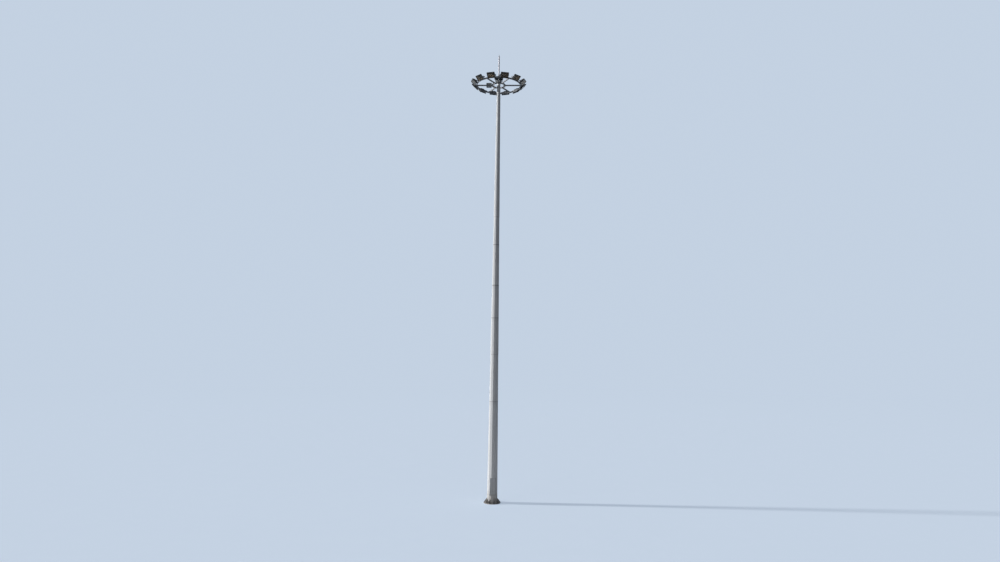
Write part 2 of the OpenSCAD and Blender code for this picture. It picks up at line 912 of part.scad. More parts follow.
// Cast housing: front frame with a groove behind it, tapered hollow back with cooling
// fins, a gland boss, and the two bosses with their tilt pins.
module lamp_housing(i) {
    groove_x = rim_back_x + rim_d / 2 - 6;
    groove_w = 3;
    groove_deep = 4;
    lip = 5;
    lip_step = 3;
    opening = rim_wall + 10;
    boss_y = arm_y - 1;
    color([0.3, 0.31, 0.32])
        at_lamp(i) {
            difference() {
                union() {
                    beam_plate(rim_back_x, rim_front_x - lip, lamp_w, lamp_h, rim_r);
                    beam_plate(rim_front_x - lip - eps, rim_front_x,
                        lamp_w - 2 * lip_step, lamp_h - 2 * lip_step, rim_r - lip_step);
                    back_taper(0);
                    cooling_fins();
                    translate([gland_x, gland_y, -taper_half(gland_x) - gland_boss_h])
                        cylinder(h = 5 * gland_boss_h, d = gland_boss_d);
                    for (y = [0, boss_y])
                        translate([0, y, 0])
                            rotate([90, 0, 0])
                                cylinder(h = boss_y, d = boss_d);
                }
                difference() {
                    beam_plate(groove_x, groove_x + groove_w, lamp_w + 2 * eps, lamp_h + 2 * eps, rim_r);
                    beam_plate(groove_x - eps, groove_x + groove_w + eps,
                        lamp_w - 2 * groove_deep, lamp_h - 2 * groove_deep, rim_r - groove_deep);
                }
                beam_plate(glass_x, rim_front_x + eps,
                    lamp_w - 2 * rim_wall, lamp_h - 2 * rim_wall, glass_corner);
                beam_plate(rim_back_x - eps, glass_x + eps,
                    lamp_w - 2 * opening, lamp_h - 2 * opening, glass_corner - 4);
                back_taper(lamp_wall);
            }
            for (side = [-1, 1])
                tilt_pin(side);
        }
}

// Upright fins that follow the slopes and stand out behind the back, their corners kept
// within the sweep that clears the yoke.
module cooling_fins() {
    front_x = -20;
    corner_back = 4;
    corner_out = 3;
    end_in = 11;
    corner_x = back_x - corner_back;
    end_x = back_x - fin_back;
    front_z = taper_half(front_x) + fin_slope;
    corner_z = back_h / 2 + corner_out;
    end_z = back_h / 2 - end_in;
    for (k = [0 : fin_count - 1])
        translate([0, (k - (fin_count - 1) / 2) * fin_pitch + fin_t / 2, 0])
            rotate([90, 0, 0])
                linear_extrude(fin_t)
                    polygon([
                        [front_x, front_z], [corner_x, corner_z], [end_x, end_z],
                        [end_x, -end_z], [corner_x, -corner_z], [front_x, -front_z]
                    ]);
}

module tilt_pin(side) {
    head_t = 8;
    root = arm_y - 8;
    out = arm_y + yoke_t + 1;
    rotate([-90 * side, 0, 0]) {
        translate([0, 0, root])
            cylinder(h = out + eps - root, d = pin_d);
        translate([0, 0, out])
            cylinder(h = head_t, d = 2 * pin_d);
    }
}

module lamp_glass(i) {
    color([0.35, 0.3, 0.25, 0.5])
        at_lamp(i)
            beam_plate(glass_x + seat, glass_x + seat + glass_t,
                lamp_w - 2 * (rim_wall + seat), lamp_h - 2 * (rim_wall + seat), glass_corner);
}

base_flange();
base_gussets();
shaft_lower();
shaft_middle();
shaft_upper();
door_frame();
service_door();
winch();
head_plate();
sheave_cheeks();
sheaves();
rain_hood();
lightning_rod();
rope_runs();
hoist_ropes();
outer_ring();
inner_ring();
ring_spokes();
roller_brackets();
guide_rollers();
rope_lugs();
junction_box();
lamp_tabs();
lamp_yokes();
lamp_housing(1);  // housing_01
lamp_housing(2);  // housing_02
lamp_housing(3);  // housing_03
lamp_housing(4);  // housing_04
lamp_housing(5);  // housing_05
lamp_housing(6);  // housing_06
lamp_housing(7);  // housing_07
lamp_housing(8);  // housing_08
lamp_housing(9);  // housing_09
lamp_housing(10);  // housing_10
lamp_housing(11);  // housing_11
lamp_housing(12);  // housing_12
lamp_glass(1);  // glass_01
lamp_glass(2);  // glass_02
lamp_glass(3);  // glass_03
lamp_glass(4);  // glass_04
lamp_glass(5);  // glass_05
lamp_glass(6);  // glass_06
lamp_glass(7);  // glass_07
lamp_glass(8);  // glass_08
lamp_glass(9);  // glass_09
lamp_glass(10);  // glass_10
lamp_glass(11);  // glass_11
lamp_glass(12);  // glass_12
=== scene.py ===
# %% [markdown]
# # A high mast floodlight tower
# Twelve floodlights sit round a ring at the head of a tapered, twelve-sided steel shaft, and the ring
# slides down on three wire ropes for service. This lesson gives the CAD solids their finishes and
# adds what they leave out: bolts, welds, stranded ropes, seals, and the inside of each floodlight.

# %% Load the frame
import json
import math
import random

import bmesh
import bpy
from mathutils import Matrix, Vector


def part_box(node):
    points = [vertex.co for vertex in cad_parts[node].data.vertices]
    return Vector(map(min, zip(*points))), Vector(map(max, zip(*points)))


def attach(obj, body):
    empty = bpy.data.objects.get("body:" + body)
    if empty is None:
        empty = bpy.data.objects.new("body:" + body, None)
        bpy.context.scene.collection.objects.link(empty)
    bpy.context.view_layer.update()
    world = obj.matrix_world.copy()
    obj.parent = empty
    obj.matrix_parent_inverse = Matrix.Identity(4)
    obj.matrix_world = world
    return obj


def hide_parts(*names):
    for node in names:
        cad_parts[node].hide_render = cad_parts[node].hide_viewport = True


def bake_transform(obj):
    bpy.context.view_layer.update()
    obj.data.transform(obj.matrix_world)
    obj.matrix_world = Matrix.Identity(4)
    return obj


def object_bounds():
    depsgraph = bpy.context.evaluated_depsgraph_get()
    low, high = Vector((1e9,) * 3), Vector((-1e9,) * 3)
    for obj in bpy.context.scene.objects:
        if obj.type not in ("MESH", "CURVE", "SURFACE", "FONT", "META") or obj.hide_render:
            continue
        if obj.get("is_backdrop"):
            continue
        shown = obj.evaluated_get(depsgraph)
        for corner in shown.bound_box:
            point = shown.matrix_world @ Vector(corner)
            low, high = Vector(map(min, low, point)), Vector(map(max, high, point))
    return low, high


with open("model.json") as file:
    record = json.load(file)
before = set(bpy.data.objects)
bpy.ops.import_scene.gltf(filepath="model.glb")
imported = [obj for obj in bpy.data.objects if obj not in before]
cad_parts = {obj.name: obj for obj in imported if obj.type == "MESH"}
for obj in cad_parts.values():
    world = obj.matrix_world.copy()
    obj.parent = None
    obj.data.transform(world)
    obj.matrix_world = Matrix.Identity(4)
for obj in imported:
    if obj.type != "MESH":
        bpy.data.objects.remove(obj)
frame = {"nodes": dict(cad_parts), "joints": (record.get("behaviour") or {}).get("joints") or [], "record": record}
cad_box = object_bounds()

nodes = frame["nodes"]
joints = {joint["name"]: joint for joint in frame["joints"]}
print("pieces of the frame:", len(nodes), "joints:", len(joints))

# %% [markdown]
# ## The camera
# A long thin object shows every small error of a camera placed by eye, so this one was
# solved from measured points: the rod's tip, the ring's ellipse and the two slip joints. The
# mast leans a little in the picture because the camera was tilted, which is the roll below.

# %% Camera
EYE = Vector((0.0, -40.821, 8.668))
FOCAL_PX, PICTURE_W, SENSOR_W = 700.0, 1000.0, 36.0
PITCH, YAW, ROLL = (math.radians(a) for a in (5.594, 0.365, 0.887))

camera_data = bpy.data.cameras.new("camera")
camera_data.sensor_width = SENSOR_W
camera_data.lens = FOCAL_PX / PICTURE_W * SENSOR_W
camera_data.clip_start, camera_data.clip_end = 0.5, 1500.0
camera = bpy.data.objects.new("camera", camera_data)
bpy.context.scene.collection.objects.link(camera)
camera.matrix_world = (
    Matrix.Translation(EYE)
    @ Matrix.Rotation(-YAW, 4, "Z")
    @ Matrix.Rotation(math.pi / 2 + PITCH, 4, "X")
    @ Matrix.Rotation(ROLL, 4, "Z")
)
bpy.context.scene.camera = camera
print("lens", round(camera_data.lens, 2), "mm")

# %% [markdown]
# ## Shader maths as plain sums
# Wiring a long tree of nodes by hand hides what it works out, so `Link` wraps one output and lets it
# take part in Python sums: each `+` or `*` adds one Math node. Every node comes from one method of
# `Tree`, which takes its type, what goes into its sockets by name or number, and its settings.

# %% Socket sums
def maths(operation, swapped=False):
    """A method that adds one Math node; swapped puts the other value first."""
    def method(self, *others):
        values = (*others, self) if swapped else (self, *others)
        return self.tree.node("Math", dict(enumerate(values)), operation=operation)
    return method


class Link:
    """One output of a node, usable in Python sums."""

    def __init__(self, tree, socket):
        self.tree, self.socket = tree, socket

    __add__ = __radd__ = maths("ADD")
    __mul__ = __rmul__ = maths("MULTIPLY")
    __sub__ = maths("SUBTRACT")
    __rsub__ = maths("SUBTRACT", swapped=True)
    __abs__ = maths("ABSOLUTE")
    at_most = maths("MINIMUM")
    or_more = maths("MAXIMUM")


class Tree:
    """A node tree whose nodes all come from one method."""

    def __init__(self, owner):
        owner.use_nodes = True
        self.made = owner.node_tree

    def feed(self, socket, value):
        """Gives a socket a plain value, or links an output to it."""
        if isinstance(value, Link):
            self.made.links.new(value.socket, socket)
        else:
            socket.default_value = value

    def node(self, kind, inputs=None, out=0, **settings):
        """Adds a node, sets it up, feeds its sockets, and returns one of its outputs."""
        node = self.made.nodes.new("ShaderNode" + kind)
        for key, value in settings.items():
            setattr(node, key, value)
        for key, value in (inputs or {}).items():
            named = [s for s in node.inputs if s.name == key and s.enabled]
            self.feed(named[0] if named else node.inputs[key], value)
        outputs = [s for s in node.outputs if s.name == out]
        return Link(self, outputs[0] if outputs else node.outputs[out])

    def blend(self, factor, a, b, how="MIX"):
        """One colour turning into another; a colour may be a plain triple."""
        a, b = ((*c, 1.0) if isinstance(c, tuple) and len(c) == 3 else c for c in (a, b))
        return self.node("Mix", {"Factor": factor, "A": a, "B": b}, 2, data_type="RGBA", blend_type=how)

    def seen_rays(self):
        """1 for camera, glossy and transmission rays, else 0."""
        names = ("Is Camera Ray", "Is Glossy Ray", "Is Transmission Ray")
        camera_ray, glossy_ray, through_ray = (self.node("LightPath", out=name) for name in names)
        return camera_ray.or_more(glossy_ray).or_more(through_ray)


print("socket sums ready")

# %% [markdown]
# ## Light and backdrop
# In the photograph the sun stands low and far to the left, so the leftmost flats are nearly white and
# the rest falls to a cool grey. A strong, narrow sun lamp does that, and two wide, weak ones turn the
# light round the shaft. The world's pale colour is only seen by camera, glossy and transmission rays;
# what it adds to the object stays dim and a little blue.

# %% Lights and world
def sun_lamp(name, azimuth, elevation, strength, softness):
    """A sun lamp that shines from a compass angle and a height, in degrees."""
    data = bpy.data.lights.new(name, "SUN")
    data.energy, data.angle = strength, math.radians(softness)
    lamp = bpy.data.objects.new(name, data)
    bpy.context.scene.collection.objects.link(lamp)
    a, e = math.radians(azimuth), math.radians(elevation)
    towards = Vector((math.cos(a) * math.cos(e), math.sin(a) * math.cos(e), math.sin(e)))
    lamp.rotation_mode = "QUATERNION"
    lamp.rotation_quaternion = towards.to_track_quat("Z", "Y")


sun_lamp("key_light", azimuth=178, elevation=16, strength=4.1, softness=3)
sun_lamp("side_light", azimuth=226, elevation=12, strength=0.55, softness=45)
sun_lamp("fill_light", azimuth=-40, elevation=15, strength=0.14, softness=90)

PALE = (0.55, 0.64, 0.76, 1.0)
SKY_LIGHT = (0.053, 0.065, 0.089, 1.0)
world = bpy.data.worlds.new("studio")
bpy.context.scene.world = world
sky = Tree(world)
sky.feed(sky.made.nodes["Background"].inputs["Color"], sky.blend(sky.seen_rays(), SKY_LIGHT, PALE))
bpy.context.scene.view_settings.view_transform = "Standard"
print("three lamps and the world ready")

# %% [markdown]
# ## Building shapes
# A loft between loops, a lathe, an outline drawn out and a tube along a path cover nearly every small
# piece, and `Solid` gathers them, each moved by a matrix. Blender works in metres, but sizes and
# places here are in millimetres unless a comment says otherwise, and `mm` turns them into metres.

# %% Mesh helpers
HERE = Matrix.Identity(4)


def mm(*rows):
    """Rows of millimetres, as metres."""
    return [tuple(value / 1000 for value in row) for row in rows]


def loft(loops, wrap=False):
    """Skins loops of equal length, with flat ends, or joined end to start if it wraps."""
    count, rows = len(loops[0]), len(loops)
    points = [p for loop in loops for p in loop]
    faces = []
    for r in range(rows if wrap else rows - 1):
        a, b = r * count, (r + 1) % rows * count
        faces += [(a + i, a + (i + 1) % count, b + (i + 1) % count, b + i) for i in range(count)]
    if not wrap:
        faces.append(tuple(range(count))[::-1])
        faces.append(tuple((rows - 1) * count + i for i in range(count)))
    return points, faces


def circle(radius, z, sides, turn=0.0):
    """Points round the Z axis at one height, the first one at an angle in radians."""
    angles = [math.tau * i / sides + turn for i in range(sides)]
    return [(radius * math.cos(a), radius * math.sin(a), z) for a in angles]


def lathe(profile, sides, wrap=False):
    """Turns (radius, height) points about Z."""
    return loft([circle(r, z, sides) for r, z in profile], wrap)


def frames_along(path, closed=False):
    """Point, side and up vectors along a path, turned as little as possible."""
    points = [Vector(p) for p in path]
    last = len(points) - 1
    side, out = None, []
    for i, p in enumerate(points):
        ahead = points[(i + 1) % len(points)] if closed else points[min(i + 1, last)]
        behind = points[i - 1] if closed or i else p
        way = (ahead - behind).normalized()
        side = way.orthogonal() if side is None else side
        side = (side - way * side.dot(way)).normalized()
        out.append((p, side, way.cross(side)))
    return out


def tube(path, radius, sides, closed=False):
    """A round bar along a path; radius is a number, or one for each point."""
    radii = radius if isinstance(radius, list) else [radius] * len(path)
    angles = [math.tau * i / sides for i in range(sides)]
    loops = [[p + (side * math.cos(a) + up * math.sin(a)) * r for a in angles]
             for (p, side, up), r in zip(frames_along(path, closed), radii)]
    return loft(loops, closed)


class Solid:
    """Points and faces gathered from several shapes, to become one piece."""

    def __init__(self):
        self.points, self.faces = [], []

    def add(self, shape, place=HERE):
        """Adds points and faces that are already in metres."""
        points, faces = shape
        start = len(self.points)
        self.points += [place @ Vector(p) for p in points]
        self.faces += [tuple(start + i for i in f) for f in faces]
        return self

    def spin(self, place, sides, *profile, wrap=False):
        """Adds a lathed shape; its points are (radius, height)."""
        return self.add(lathe(mm(*profile), sides, wrap), place)

    def bar(self, place, radius, sides, *path, closed=False):
        return self.add(tube(mm(*path), radius / 1000, sides, closed), place)

    def extrude(self, place, axis, ends, outline):
        """Adds an outline drawn out along Y or Z between two ends."""
        loops = [[(a, end, b) if axis == "Y" else (a, b, end) for a, b in outline] for end in ends]
        return self.add(loft([mm(*loop) for loop in loops]), place)


print("mesh helpers ready")

# %% [markdown]
# ## Placing pieces
# A place is a matrix. `at` moves a shape and can point its Z axis another way, and `turned`
# does the same round the mast's axis. `add_piece` makes an object of a gathered solid, and
# `place_piece` uses a finished mesh again.

# %% Placing helpers
WAYS = {"X": (1, 0, 0), "-X": (-1, 0, 0), "Y": (0, 1, 0), "-Y": (0, -1, 0), "-Z": (0, 0, -1)}
FACING = {name: Vector(way).to_track_quat("Z", "Y").to_matrix().to_4x4() for name, way in WAYS.items()}


def at(x, y, z, way=None):
    """A place at (x, y, z), with a shape's Z pointed one way."""
    return Matrix.Translation(mm((x, y, z))[0]) @ FACING.get(way, HERE)


def turned(angle, x=0, y=0, z=0, way=None):
    """The same, turned round the mast's axis by an angle in degrees."""
    return Matrix.Rotation(math.radians(angle), 4, "Z") @ at(x, y, z, way)


def both(value):
    """The same distance to either side of a middle."""
    return -value, value


def place_piece(name, mesh, body, place=HERE):
    piece = bpy.data.objects.new(name, mesh)
    bpy.context.scene.collection.objects.link(piece)
    piece.matrix_world = place
    if body:
        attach(piece, body)
    return piece


def add_piece(name, solid, finish, body, smooth=30, place=HERE):
    """Makes one object of a solid; edges sharper than the smooth angle stay crisp."""
    mesh = bpy.data.meshes.new(name)
    mesh.from_pydata([tuple(p) for p in solid.points], [], solid.faces)
    tidy = bmesh.new()
    tidy.from_mesh(mesh)
    bmesh.ops.recalc_face_normals(tidy, faces=tidy.faces)
    tidy.to_mesh(mesh)
    tidy.free()
    mesh.polygons.foreach_set("use_smooth", [True] * len(mesh.polygons))
    mesh.set_sharp_from_angle(angle=math.radians(smooth))
    mesh.materials.append(finish)
    print(name, len(mesh.polygons), "faces")
    return place_piece(name, mesh, body, place)


print("placing helpers ready")

# %% [markdown]
# ## How a finish is written
# `Finish` holds one material while it is being made. Its patterns are drawn on the object in metres,
# so a scale of 50 gives marks about 20 mm across. `dapple` is soft noise, `cells` are crystals or
# dents, and `step` makes a soft-edged mask of a value.

# %% Finish helpers
class Finish(Tree):
    """One material being made, with its patterns in metres."""

    def __init__(self, name):
        self.material = bpy.data.materials.new(name)
        super().__init__(self.material)
        self.shader = self.made.nodes["Principled BSDF"]
        self.at = self.node("TexCoord", out="Object")

    def part(self, vector, axis):
        return self.node("SeparateXYZ", {"Vector": vector}, axis)

    def stretched(self, x, y, z):
        """The drawing points, squeezed along each axis."""
        return self.node("VectorMath", {0: self.at, 1: (x, y, z)}, operation="MULTIPLY")

    def dapple(self, scale, detail=3.0, at=None):
        inputs = {"Vector": at or self.at, "Scale": scale, "Detail": detail, "Roughness": 0.55}
        return self.node("TexNoise", inputs)

    def cells(self, scale, out=0):
        return self.node("TexVoronoi", {"Vector": self.at, "Scale": scale}, out)

    def step(self, value, low, high):
        """0 below low, 1 above high, smooth between; low may be the larger."""
        inputs = {"Value": value, "From Min": low, "From Max": high}
        return self.node("MapRange", inputs, interpolation_type="SMOOTHSTEP")

    def facing_up(self):
        """1 on faces that look up, 0 on those that look down."""
        return self.step(self.part(self.node("NewGeometry", out="Normal"), "Z"), -0.1, 0.9)

    def tone(self, colour, amount):
        """A colour made lighter or darker by a factor that may vary."""
        grey = self.node("CombineColor", {"Red": amount, "Green": amount, "Blue": amount})
        return self.blend(1.0, colour, grey, "MULTIPLY")

    def relief(self, height, depth):
        """Bumps of about the given depth in metres."""
        return self.node("Bump", {"Height": height, "Distance": depth, "Strength": 1.0})

    def paint(self, **values):
        for key, value in values.items():
            self.feed(self.shader.inputs[key.replace("_", " ")], value)
        return self.material


print("finish helpers ready")

# %% [markdown]
# ## The floor
# The floor is a pale disc far wider than the picture. It fades into the backdrop's colour, so no hard
# horizon crosses the mast, and near the foot it keeps the mast's shadow. The photograph's lower shaft
# is lighter than its head, so for light that bounces the disc is pale near the foot and dark farther
# out.

# %% Floor
FLOOR_R, FLOOR_TOP, FLOOR_BOTTOM, FLOOR_SIDES = 700.0, -0.001, -0.020, 96  # metres
FADE_FROM, FADE_TO, PALE_TO, DARK_FROM = 45.0, 130.0, 10.0, 26.0

ground = Finish("floor_paint")
seen = ground.seen_rays()
reach = ground.node("VectorMath", {0: ground.at}, "Value", operation="LENGTH")
bounce = ground.blend(ground.step(reach, PALE_TO, DARK_FROM), (0.88, 0.89, 0.90), (0.09, 0.096, 0.11))
mottle = ground.tone((0.44, 0.48, 0.52), 0.98 + ground.dapple(0.8, 4.0) * 0.04)
glow = ground.blend(seen, (0.0, 0.0, 0.0), (0.350, 0.415, 0.504))
ground.paint(Base_Color=ground.blend(seen, bounce, mottle), Roughness=1.0, Specular_IOR_Level=0.0,
             Emission_Color=glow, Emission_Strength=1.0)
backdrop = ground.node("Emission", {"Color": PALE})
fading = ground.step(reach, FADE_FROM, FADE_TO) * seen
mixed = ground.node("MixShader", {0: fading, 1: Link(ground, ground.shader.outputs[0]), 2: backdrop})
ground.feed(ground.made.nodes["Material Output"].inputs["Surface"], mixed)

disc = [(0.0, FLOOR_BOTTOM), (FLOOR_R, FLOOR_BOTTOM), (FLOOR_R, FLOOR_TOP), (0.0, FLOOR_TOP)]
add_piece("floor", Solid().add(lathe(disc, FLOOR_SIDES)), ground.material, None)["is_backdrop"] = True

# %% [markdown]
# ## Galvanised steel
# Molten zinc freezes on the steel into flat crystals, the spangle, each with its own brightness. Over
# the years a dull, chalky patina grows on it, and rain draws streaks down the flats. The patina makes
# old zinc matt, so it lowers Metallic and raises Roughness together. Then come rust below the edges
# that hold water, a dark line at each seam, a painted shadow with dirt just under each lap's edge,
# and mud near the ground.

# %% Galvanised steel
RUST, MUD = (0.19, 0.085, 0.035), (0.24, 0.20, 0.15)
# The lap colour is painted shadow under a lap's edge, mixed with dirt.
SEAM_DARK, LAP_SHADOW_AND_DIRT = (0.15, 0.155, 0.165), (0.09, 0.085, 0.08)
SLIP_JOINTS = (8.4, 16.45)  # heights of the lapped edges, in metres
SEAMS = ((5.7, 0.45), (10.5, 0.55), (12.4, 0.9), (14.8, 0.85))  # height, strength of the line
WET_REACH, MUD_REACH = 0.5, 0.9  # metres below a lap and above the ground


def galvanised(name, colour, spangle_mm, metal, seams=(), laps=(), splashed=False):
    zinc = Finish(name)
    crystal = zinc.node("SeparateColor", {"Color": zinc.cells(1000 / spangle_mm, "Color")})
    patina = zinc.step(zinc.dapple(2.1, 5.0), 0.38, 0.66)
    runs = zinc.dapple(1.0, 4.0, zinc.stretched(26.0, 26.0, 0.45))
    chalk = tuple(0.85 * c + 0.07 for c in colour)
    shade = 0.82 + crystal * 0.20 + patina * 0.07 + (runs - 0.5) * 0.30
    skin = zinc.tone(zinc.blend(patina, colour, chalk), shade)
    z = zinc.part(zinc.at, "Z")
    specks = zinc.step(zinc.dapple(1.0, 4.0, zinc.stretched(55.0, 55.0, 7.0)), 0.60, 0.72)
    for lap in laps:
        wet = zinc.step(z, lap - WET_REACH, lap) * zinc.step(z, lap + 0.012, lap)
        skin = zinc.blend(wet * specks * 0.7, skin, RUST)
    for seam, strength in seams:
        line = zinc.step(abs(z - seam), 0.030, 0.014)
        stain = zinc.step(z, seam - 0.35, seam) * zinc.step(z, seam + 0.01, seam) * runs * 0.5
        skin = zinc.blend((line + stain).at_most(1.0) * strength, skin, SEAM_DARK)
    # A thin band just under each lap's edge is painted shadow of the step, darkened further by dirt.
    for lap in laps:
        lap_shadow_and_dirt = zinc.step(z, lap - 0.020, lap - 0.003) * zinc.step(z, lap + 0.004, lap)
        skin = zinc.blend(lap_shadow_and_dirt * 0.85, skin, LAP_SHADOW_AND_DIRT)
    if splashed:
        splash = zinc.step(z + (zinc.dapple(7.0, 4.0) - 0.5) * MUD_REACH, MUD_REACH, 0.05)
        skin = zinc.blend(splash * 0.55, skin, MUD)
    return zinc.paint(
        Base_Color=skin, Metallic=(1 - patina * 0.7) * metal, Specular_IOR_Level=0.2,
        Roughness=0.42 + patina * 0.20 + crystal * 0.14,
        Normal=zinc.relief(zinc.dapple(240.0, 2.0) * 0.7 + crystal * 0.3, 0.0004))


shaft_steel = galvanised("shaft_steel", (0.59, 0.60, 0.61), 17.0, 0.06, SEAMS, SLIP_JOINTS, True)
ring_steel = galvanised("galvanised", (0.235, 0.24, 0.25), 11.0, 0.08)
foot_steel = galvanised("foot_steel", (0.48, 0.49, 0.50), 14.0, 0.06, splashed=True)
weld_bead = galvanised("weld_bead", (0.50, 0.51, 0.52), 6.0, 0.20)
print("galvanised steel ready")

# %% [markdown]
# ## The other metals
# The housings are cast aluminium with a fine sand-cast grain. Dust settles on what faces up, so the
# sum uses the surface's own normal. Paint, rubber, ceramic and bolts share one finish of grime and
# chips, and the wire rope gets its sheen from long scratches.

# %% Castings, paint and wire
DUST, CHIPPED, GREASE = (0.22, 0.21, 0.185), (0.36, 0.34, 0.31), (0.10, 0.09, 0.075)

cast = Finish("lamp_casting")
sand = cast.dapple(420.0, 3.0)
stain = cast.dapple(9.0, 5.0)
runs = cast.dapple(1.0, 3.0, cast.stretched(45.0, 45.0, 6.0))
dust = cast.facing_up() * cast.step(cast.dapple(14.0, 4.0), 0.30, 0.70)
grey = cast.tone((0.030, 0.031, 0.033), 0.70 + stain * 0.40 + (runs - 0.5) * 0.40 + sand * 0.12)
lamp_casting = cast.paint(
    Base_Color=cast.blend(dust * 0.25, grey, DUST), Metallic=0.12 - dust * 0.10,
    Specular_IOR_Level=0.2, Roughness=0.50 + stain * 0.16 + dust * 0.15,
    Normal=cast.relief(sand, 0.0005))


def painted(name, colour, roughness, wear=0.0, metal=0.0):
    coat = Finish(name)
    grime = coat.dapple(18.0, 5.0)
    chips = coat.step(coat.dapple(90.0, 3.0), 0.66, 0.72)
    body = coat.blend(chips * wear, coat.tone(colour, 0.80 + grime * 0.40), CHIPPED)
    return coat.paint(
        Base_Color=body, Metallic=metal + chips * wear * 0.5,
        Roughness=roughness + (grime - 0.5) * 0.22,
        Normal=coat.relief(coat.dapple(260.0, 3.0) - chips * 0.8, 0.0003))


dark_steel = painted("dark_steel", (0.055, 0.058, 0.063), 0.50, 0.5, 0.1)
hood_steel = painted("hood_steel", (0.11, 0.115, 0.12), 0.46, 0.35, 0.2)
rod_steel = painted("rod_steel", (0.46, 0.43, 0.45), 0.42, 0.10, 0.1)
box_paint = painted("box_paint", (0.20, 0.205, 0.20), 0.45, 0.20)
rubber = painted("rubber", (0.030, 0.030, 0.032), 0.72)
gland_plastic = painted("gland_plastic", (0.045, 0.046, 0.050), 0.50)
ceramic = painted("lampholder_ceramic", (0.74, 0.71, 0.64), 0.34)
fastener = painted("fastener", (0.50, 0.50, 0.50), 0.34, 0.30, 0.7)
brass = painted("arc_tube_metal", (0.62, 0.50, 0.28), 0.30, metal=0.8)

rope = Finish("rope_wire")
grease = rope.step(rope.dapple(34.0, 4.0), 0.42, 0.64)
scratch = rope.dapple(1.0, 2.0, rope.stretched(900.0, 900.0, 60.0))
rope_wire = rope.paint(
    Base_Color=rope.tone(rope.blend(grease, (0.42, 0.42, 0.41), GREASE), 0.75 + scratch * 0.5),
    Metallic=0.6 - grease * 0.45, Roughness=0.38 + grease * 0.2,
    Normal=rope.relief(scratch, 0.0002))
print("metals ready")

# %% [markdown]
# ## Glass, reflector and nylon
# A floodlight's glass shows the reflector, the lamp and its holder, so these are real pieces behind a
# real sheet with a film of dust. The reflector is hammered aluminium: its relief is a pattern of
# small round dents. Its colour holds painted light: its flanks are painted lighter than its back, as
# if they caught more light, and each dent is painted lighter in its middle.

# %% Glass, reflector and nylon
sheet = Finish("lamp_glass")
film = sheet.step(sheet.dapple(13.0, 4.0), 0.42, 0.85)
lamp_glass = sheet.paint(
    Base_Color=sheet.blend(film, (0.82, 0.78, 0.70), (0.58, 0.53, 0.45)),
    Transmission_Weight=1.0, IOR=1.46, Specular_Tint=(0.40, 0.38, 0.35, 1.0),
    Roughness=0.012 + film * 0.02)

bright = Finish("reflector")
dents = bright.cells(110.0)
haze = bright.dapple(12.0, 4.0)
normal = bright.node("TexCoord", out="Normal")
# Painted light: the colour is lighter on faces turned along Y or Z than on the back, and lighter in each dent's
# middle.
flank_painted_light = 0.35 + abs(bright.part(normal, "Y")) * 1.4 + abs(bright.part(normal, "Z")) * 0.8
dent_painted_light = bright.step(dents, 0.55, 0.15)
shade = (0.40 + haze * 0.5 + dent_painted_light * 0.5) * flank_painted_light
reflector = bright.paint(
    Base_Color=bright.tone((0.150, 0.112, 0.082), shade), Metallic=0.95,
    Roughness=0.20 + haze * 0.18, Normal=bright.relief(dents, 0.0007))

worn = Finish("roller_nylon")
scuff = worn.dapple(60.0, 4.0)
bands = worn.step(worn.dapple(22.0, 4.0), 0.45, 0.75)
white = worn.blend(bands, (0.80, 0.79, 0.74), (0.55, 0.52, 0.45))
roller_nylon = worn.paint(
    Base_Color=worn.tone(white, 0.88 + scuff * 0.2), Roughness=0.42 + scuff * 0.2,
    Subsurface_Weight=0.08, Subsurface_Scale=0.004, Normal=worn.relief(scuff, 0.0004))

clear = Finish("bulb_glass")
haze = clear.dapple(30.0)
bulb_glass = clear.paint(Transmission_Weight=1.0, IOR=1.45, Roughness=0.02 + haze * 0.04)
print("glass and nylon ready")

# %% [markdown]
# ## Finishes on the CAD solids
# Each solid keeps its mesh, and only its material slot is filled, as the record says. The foot's
# plates and door share the ring's slot, but they are as light as the shaft, and the yokes are as dark
# as the lamps, so these are chosen by name.

# %% Dress the solids
FINISH_OF_SLOT = dict(
    shaft_steel=shaft_steel, galvanised=ring_steel, dark_steel=dark_steel, hood_steel=hood_steel,
    rod_steel=rod_steel, rope_wire=rope_wire, roller_nylon=roller_nylon, box_paint=box_paint,
    lamp_casting=lamp_casting, lamp_glass=lamp_glass)
FINISH_OF_NODE = dict.fromkeys(("base_flange", "base_gussets", "door_frame", "service_door"), foot_steel)
FINISH_OF_NODE["lamp_yokes"] = dark_steel
for part in frame["record"]["subparts"]:
    finish = FINISH_OF_NODE.get(part["node"], FINISH_OF_SLOT[part["material_slot"]])
    mesh = nodes[part["node"]].data
    mesh.materials.clear()
    mesh.materials.append(finish)

# %% [markdown]
# ## Where things are
# Small pieces have to meet the solids, so the ring's height comes from its box in the frame, and each
# floodlight's pin from its joint. From the pin, X runs along the beam, Y along the pin, and Z up the
# back of the housing, and at rest the beam points 45 degrees below level. The twelve floodlights are
# alike, so each of their pieces is meshed once and shared by twelve objects.

# %% Places on the tower
RING_Z = 500 * sum(corner[2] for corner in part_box("outer_ring"))
RING_TURN, FLAT_TURN = -2.4, 4.0  # degrees from +X to the first spoke and to the first flat
LAMP_ANGLES = [15 + RING_TURN + 30 * i for i in range(12)]
SPOKE_ANGLES = [RING_TURN + 60 * i for i in range(6)]
ROPE_ANGLES = [30 + RING_TURN + 120 * i for i in range(3)]
HOOD_ANGLES = [angle + 60 for angle in ROPE_ANGLES]
LAMPS = ["%02d" % number for number in range(1, 13)]
BEAM_DROP = math.radians(45)


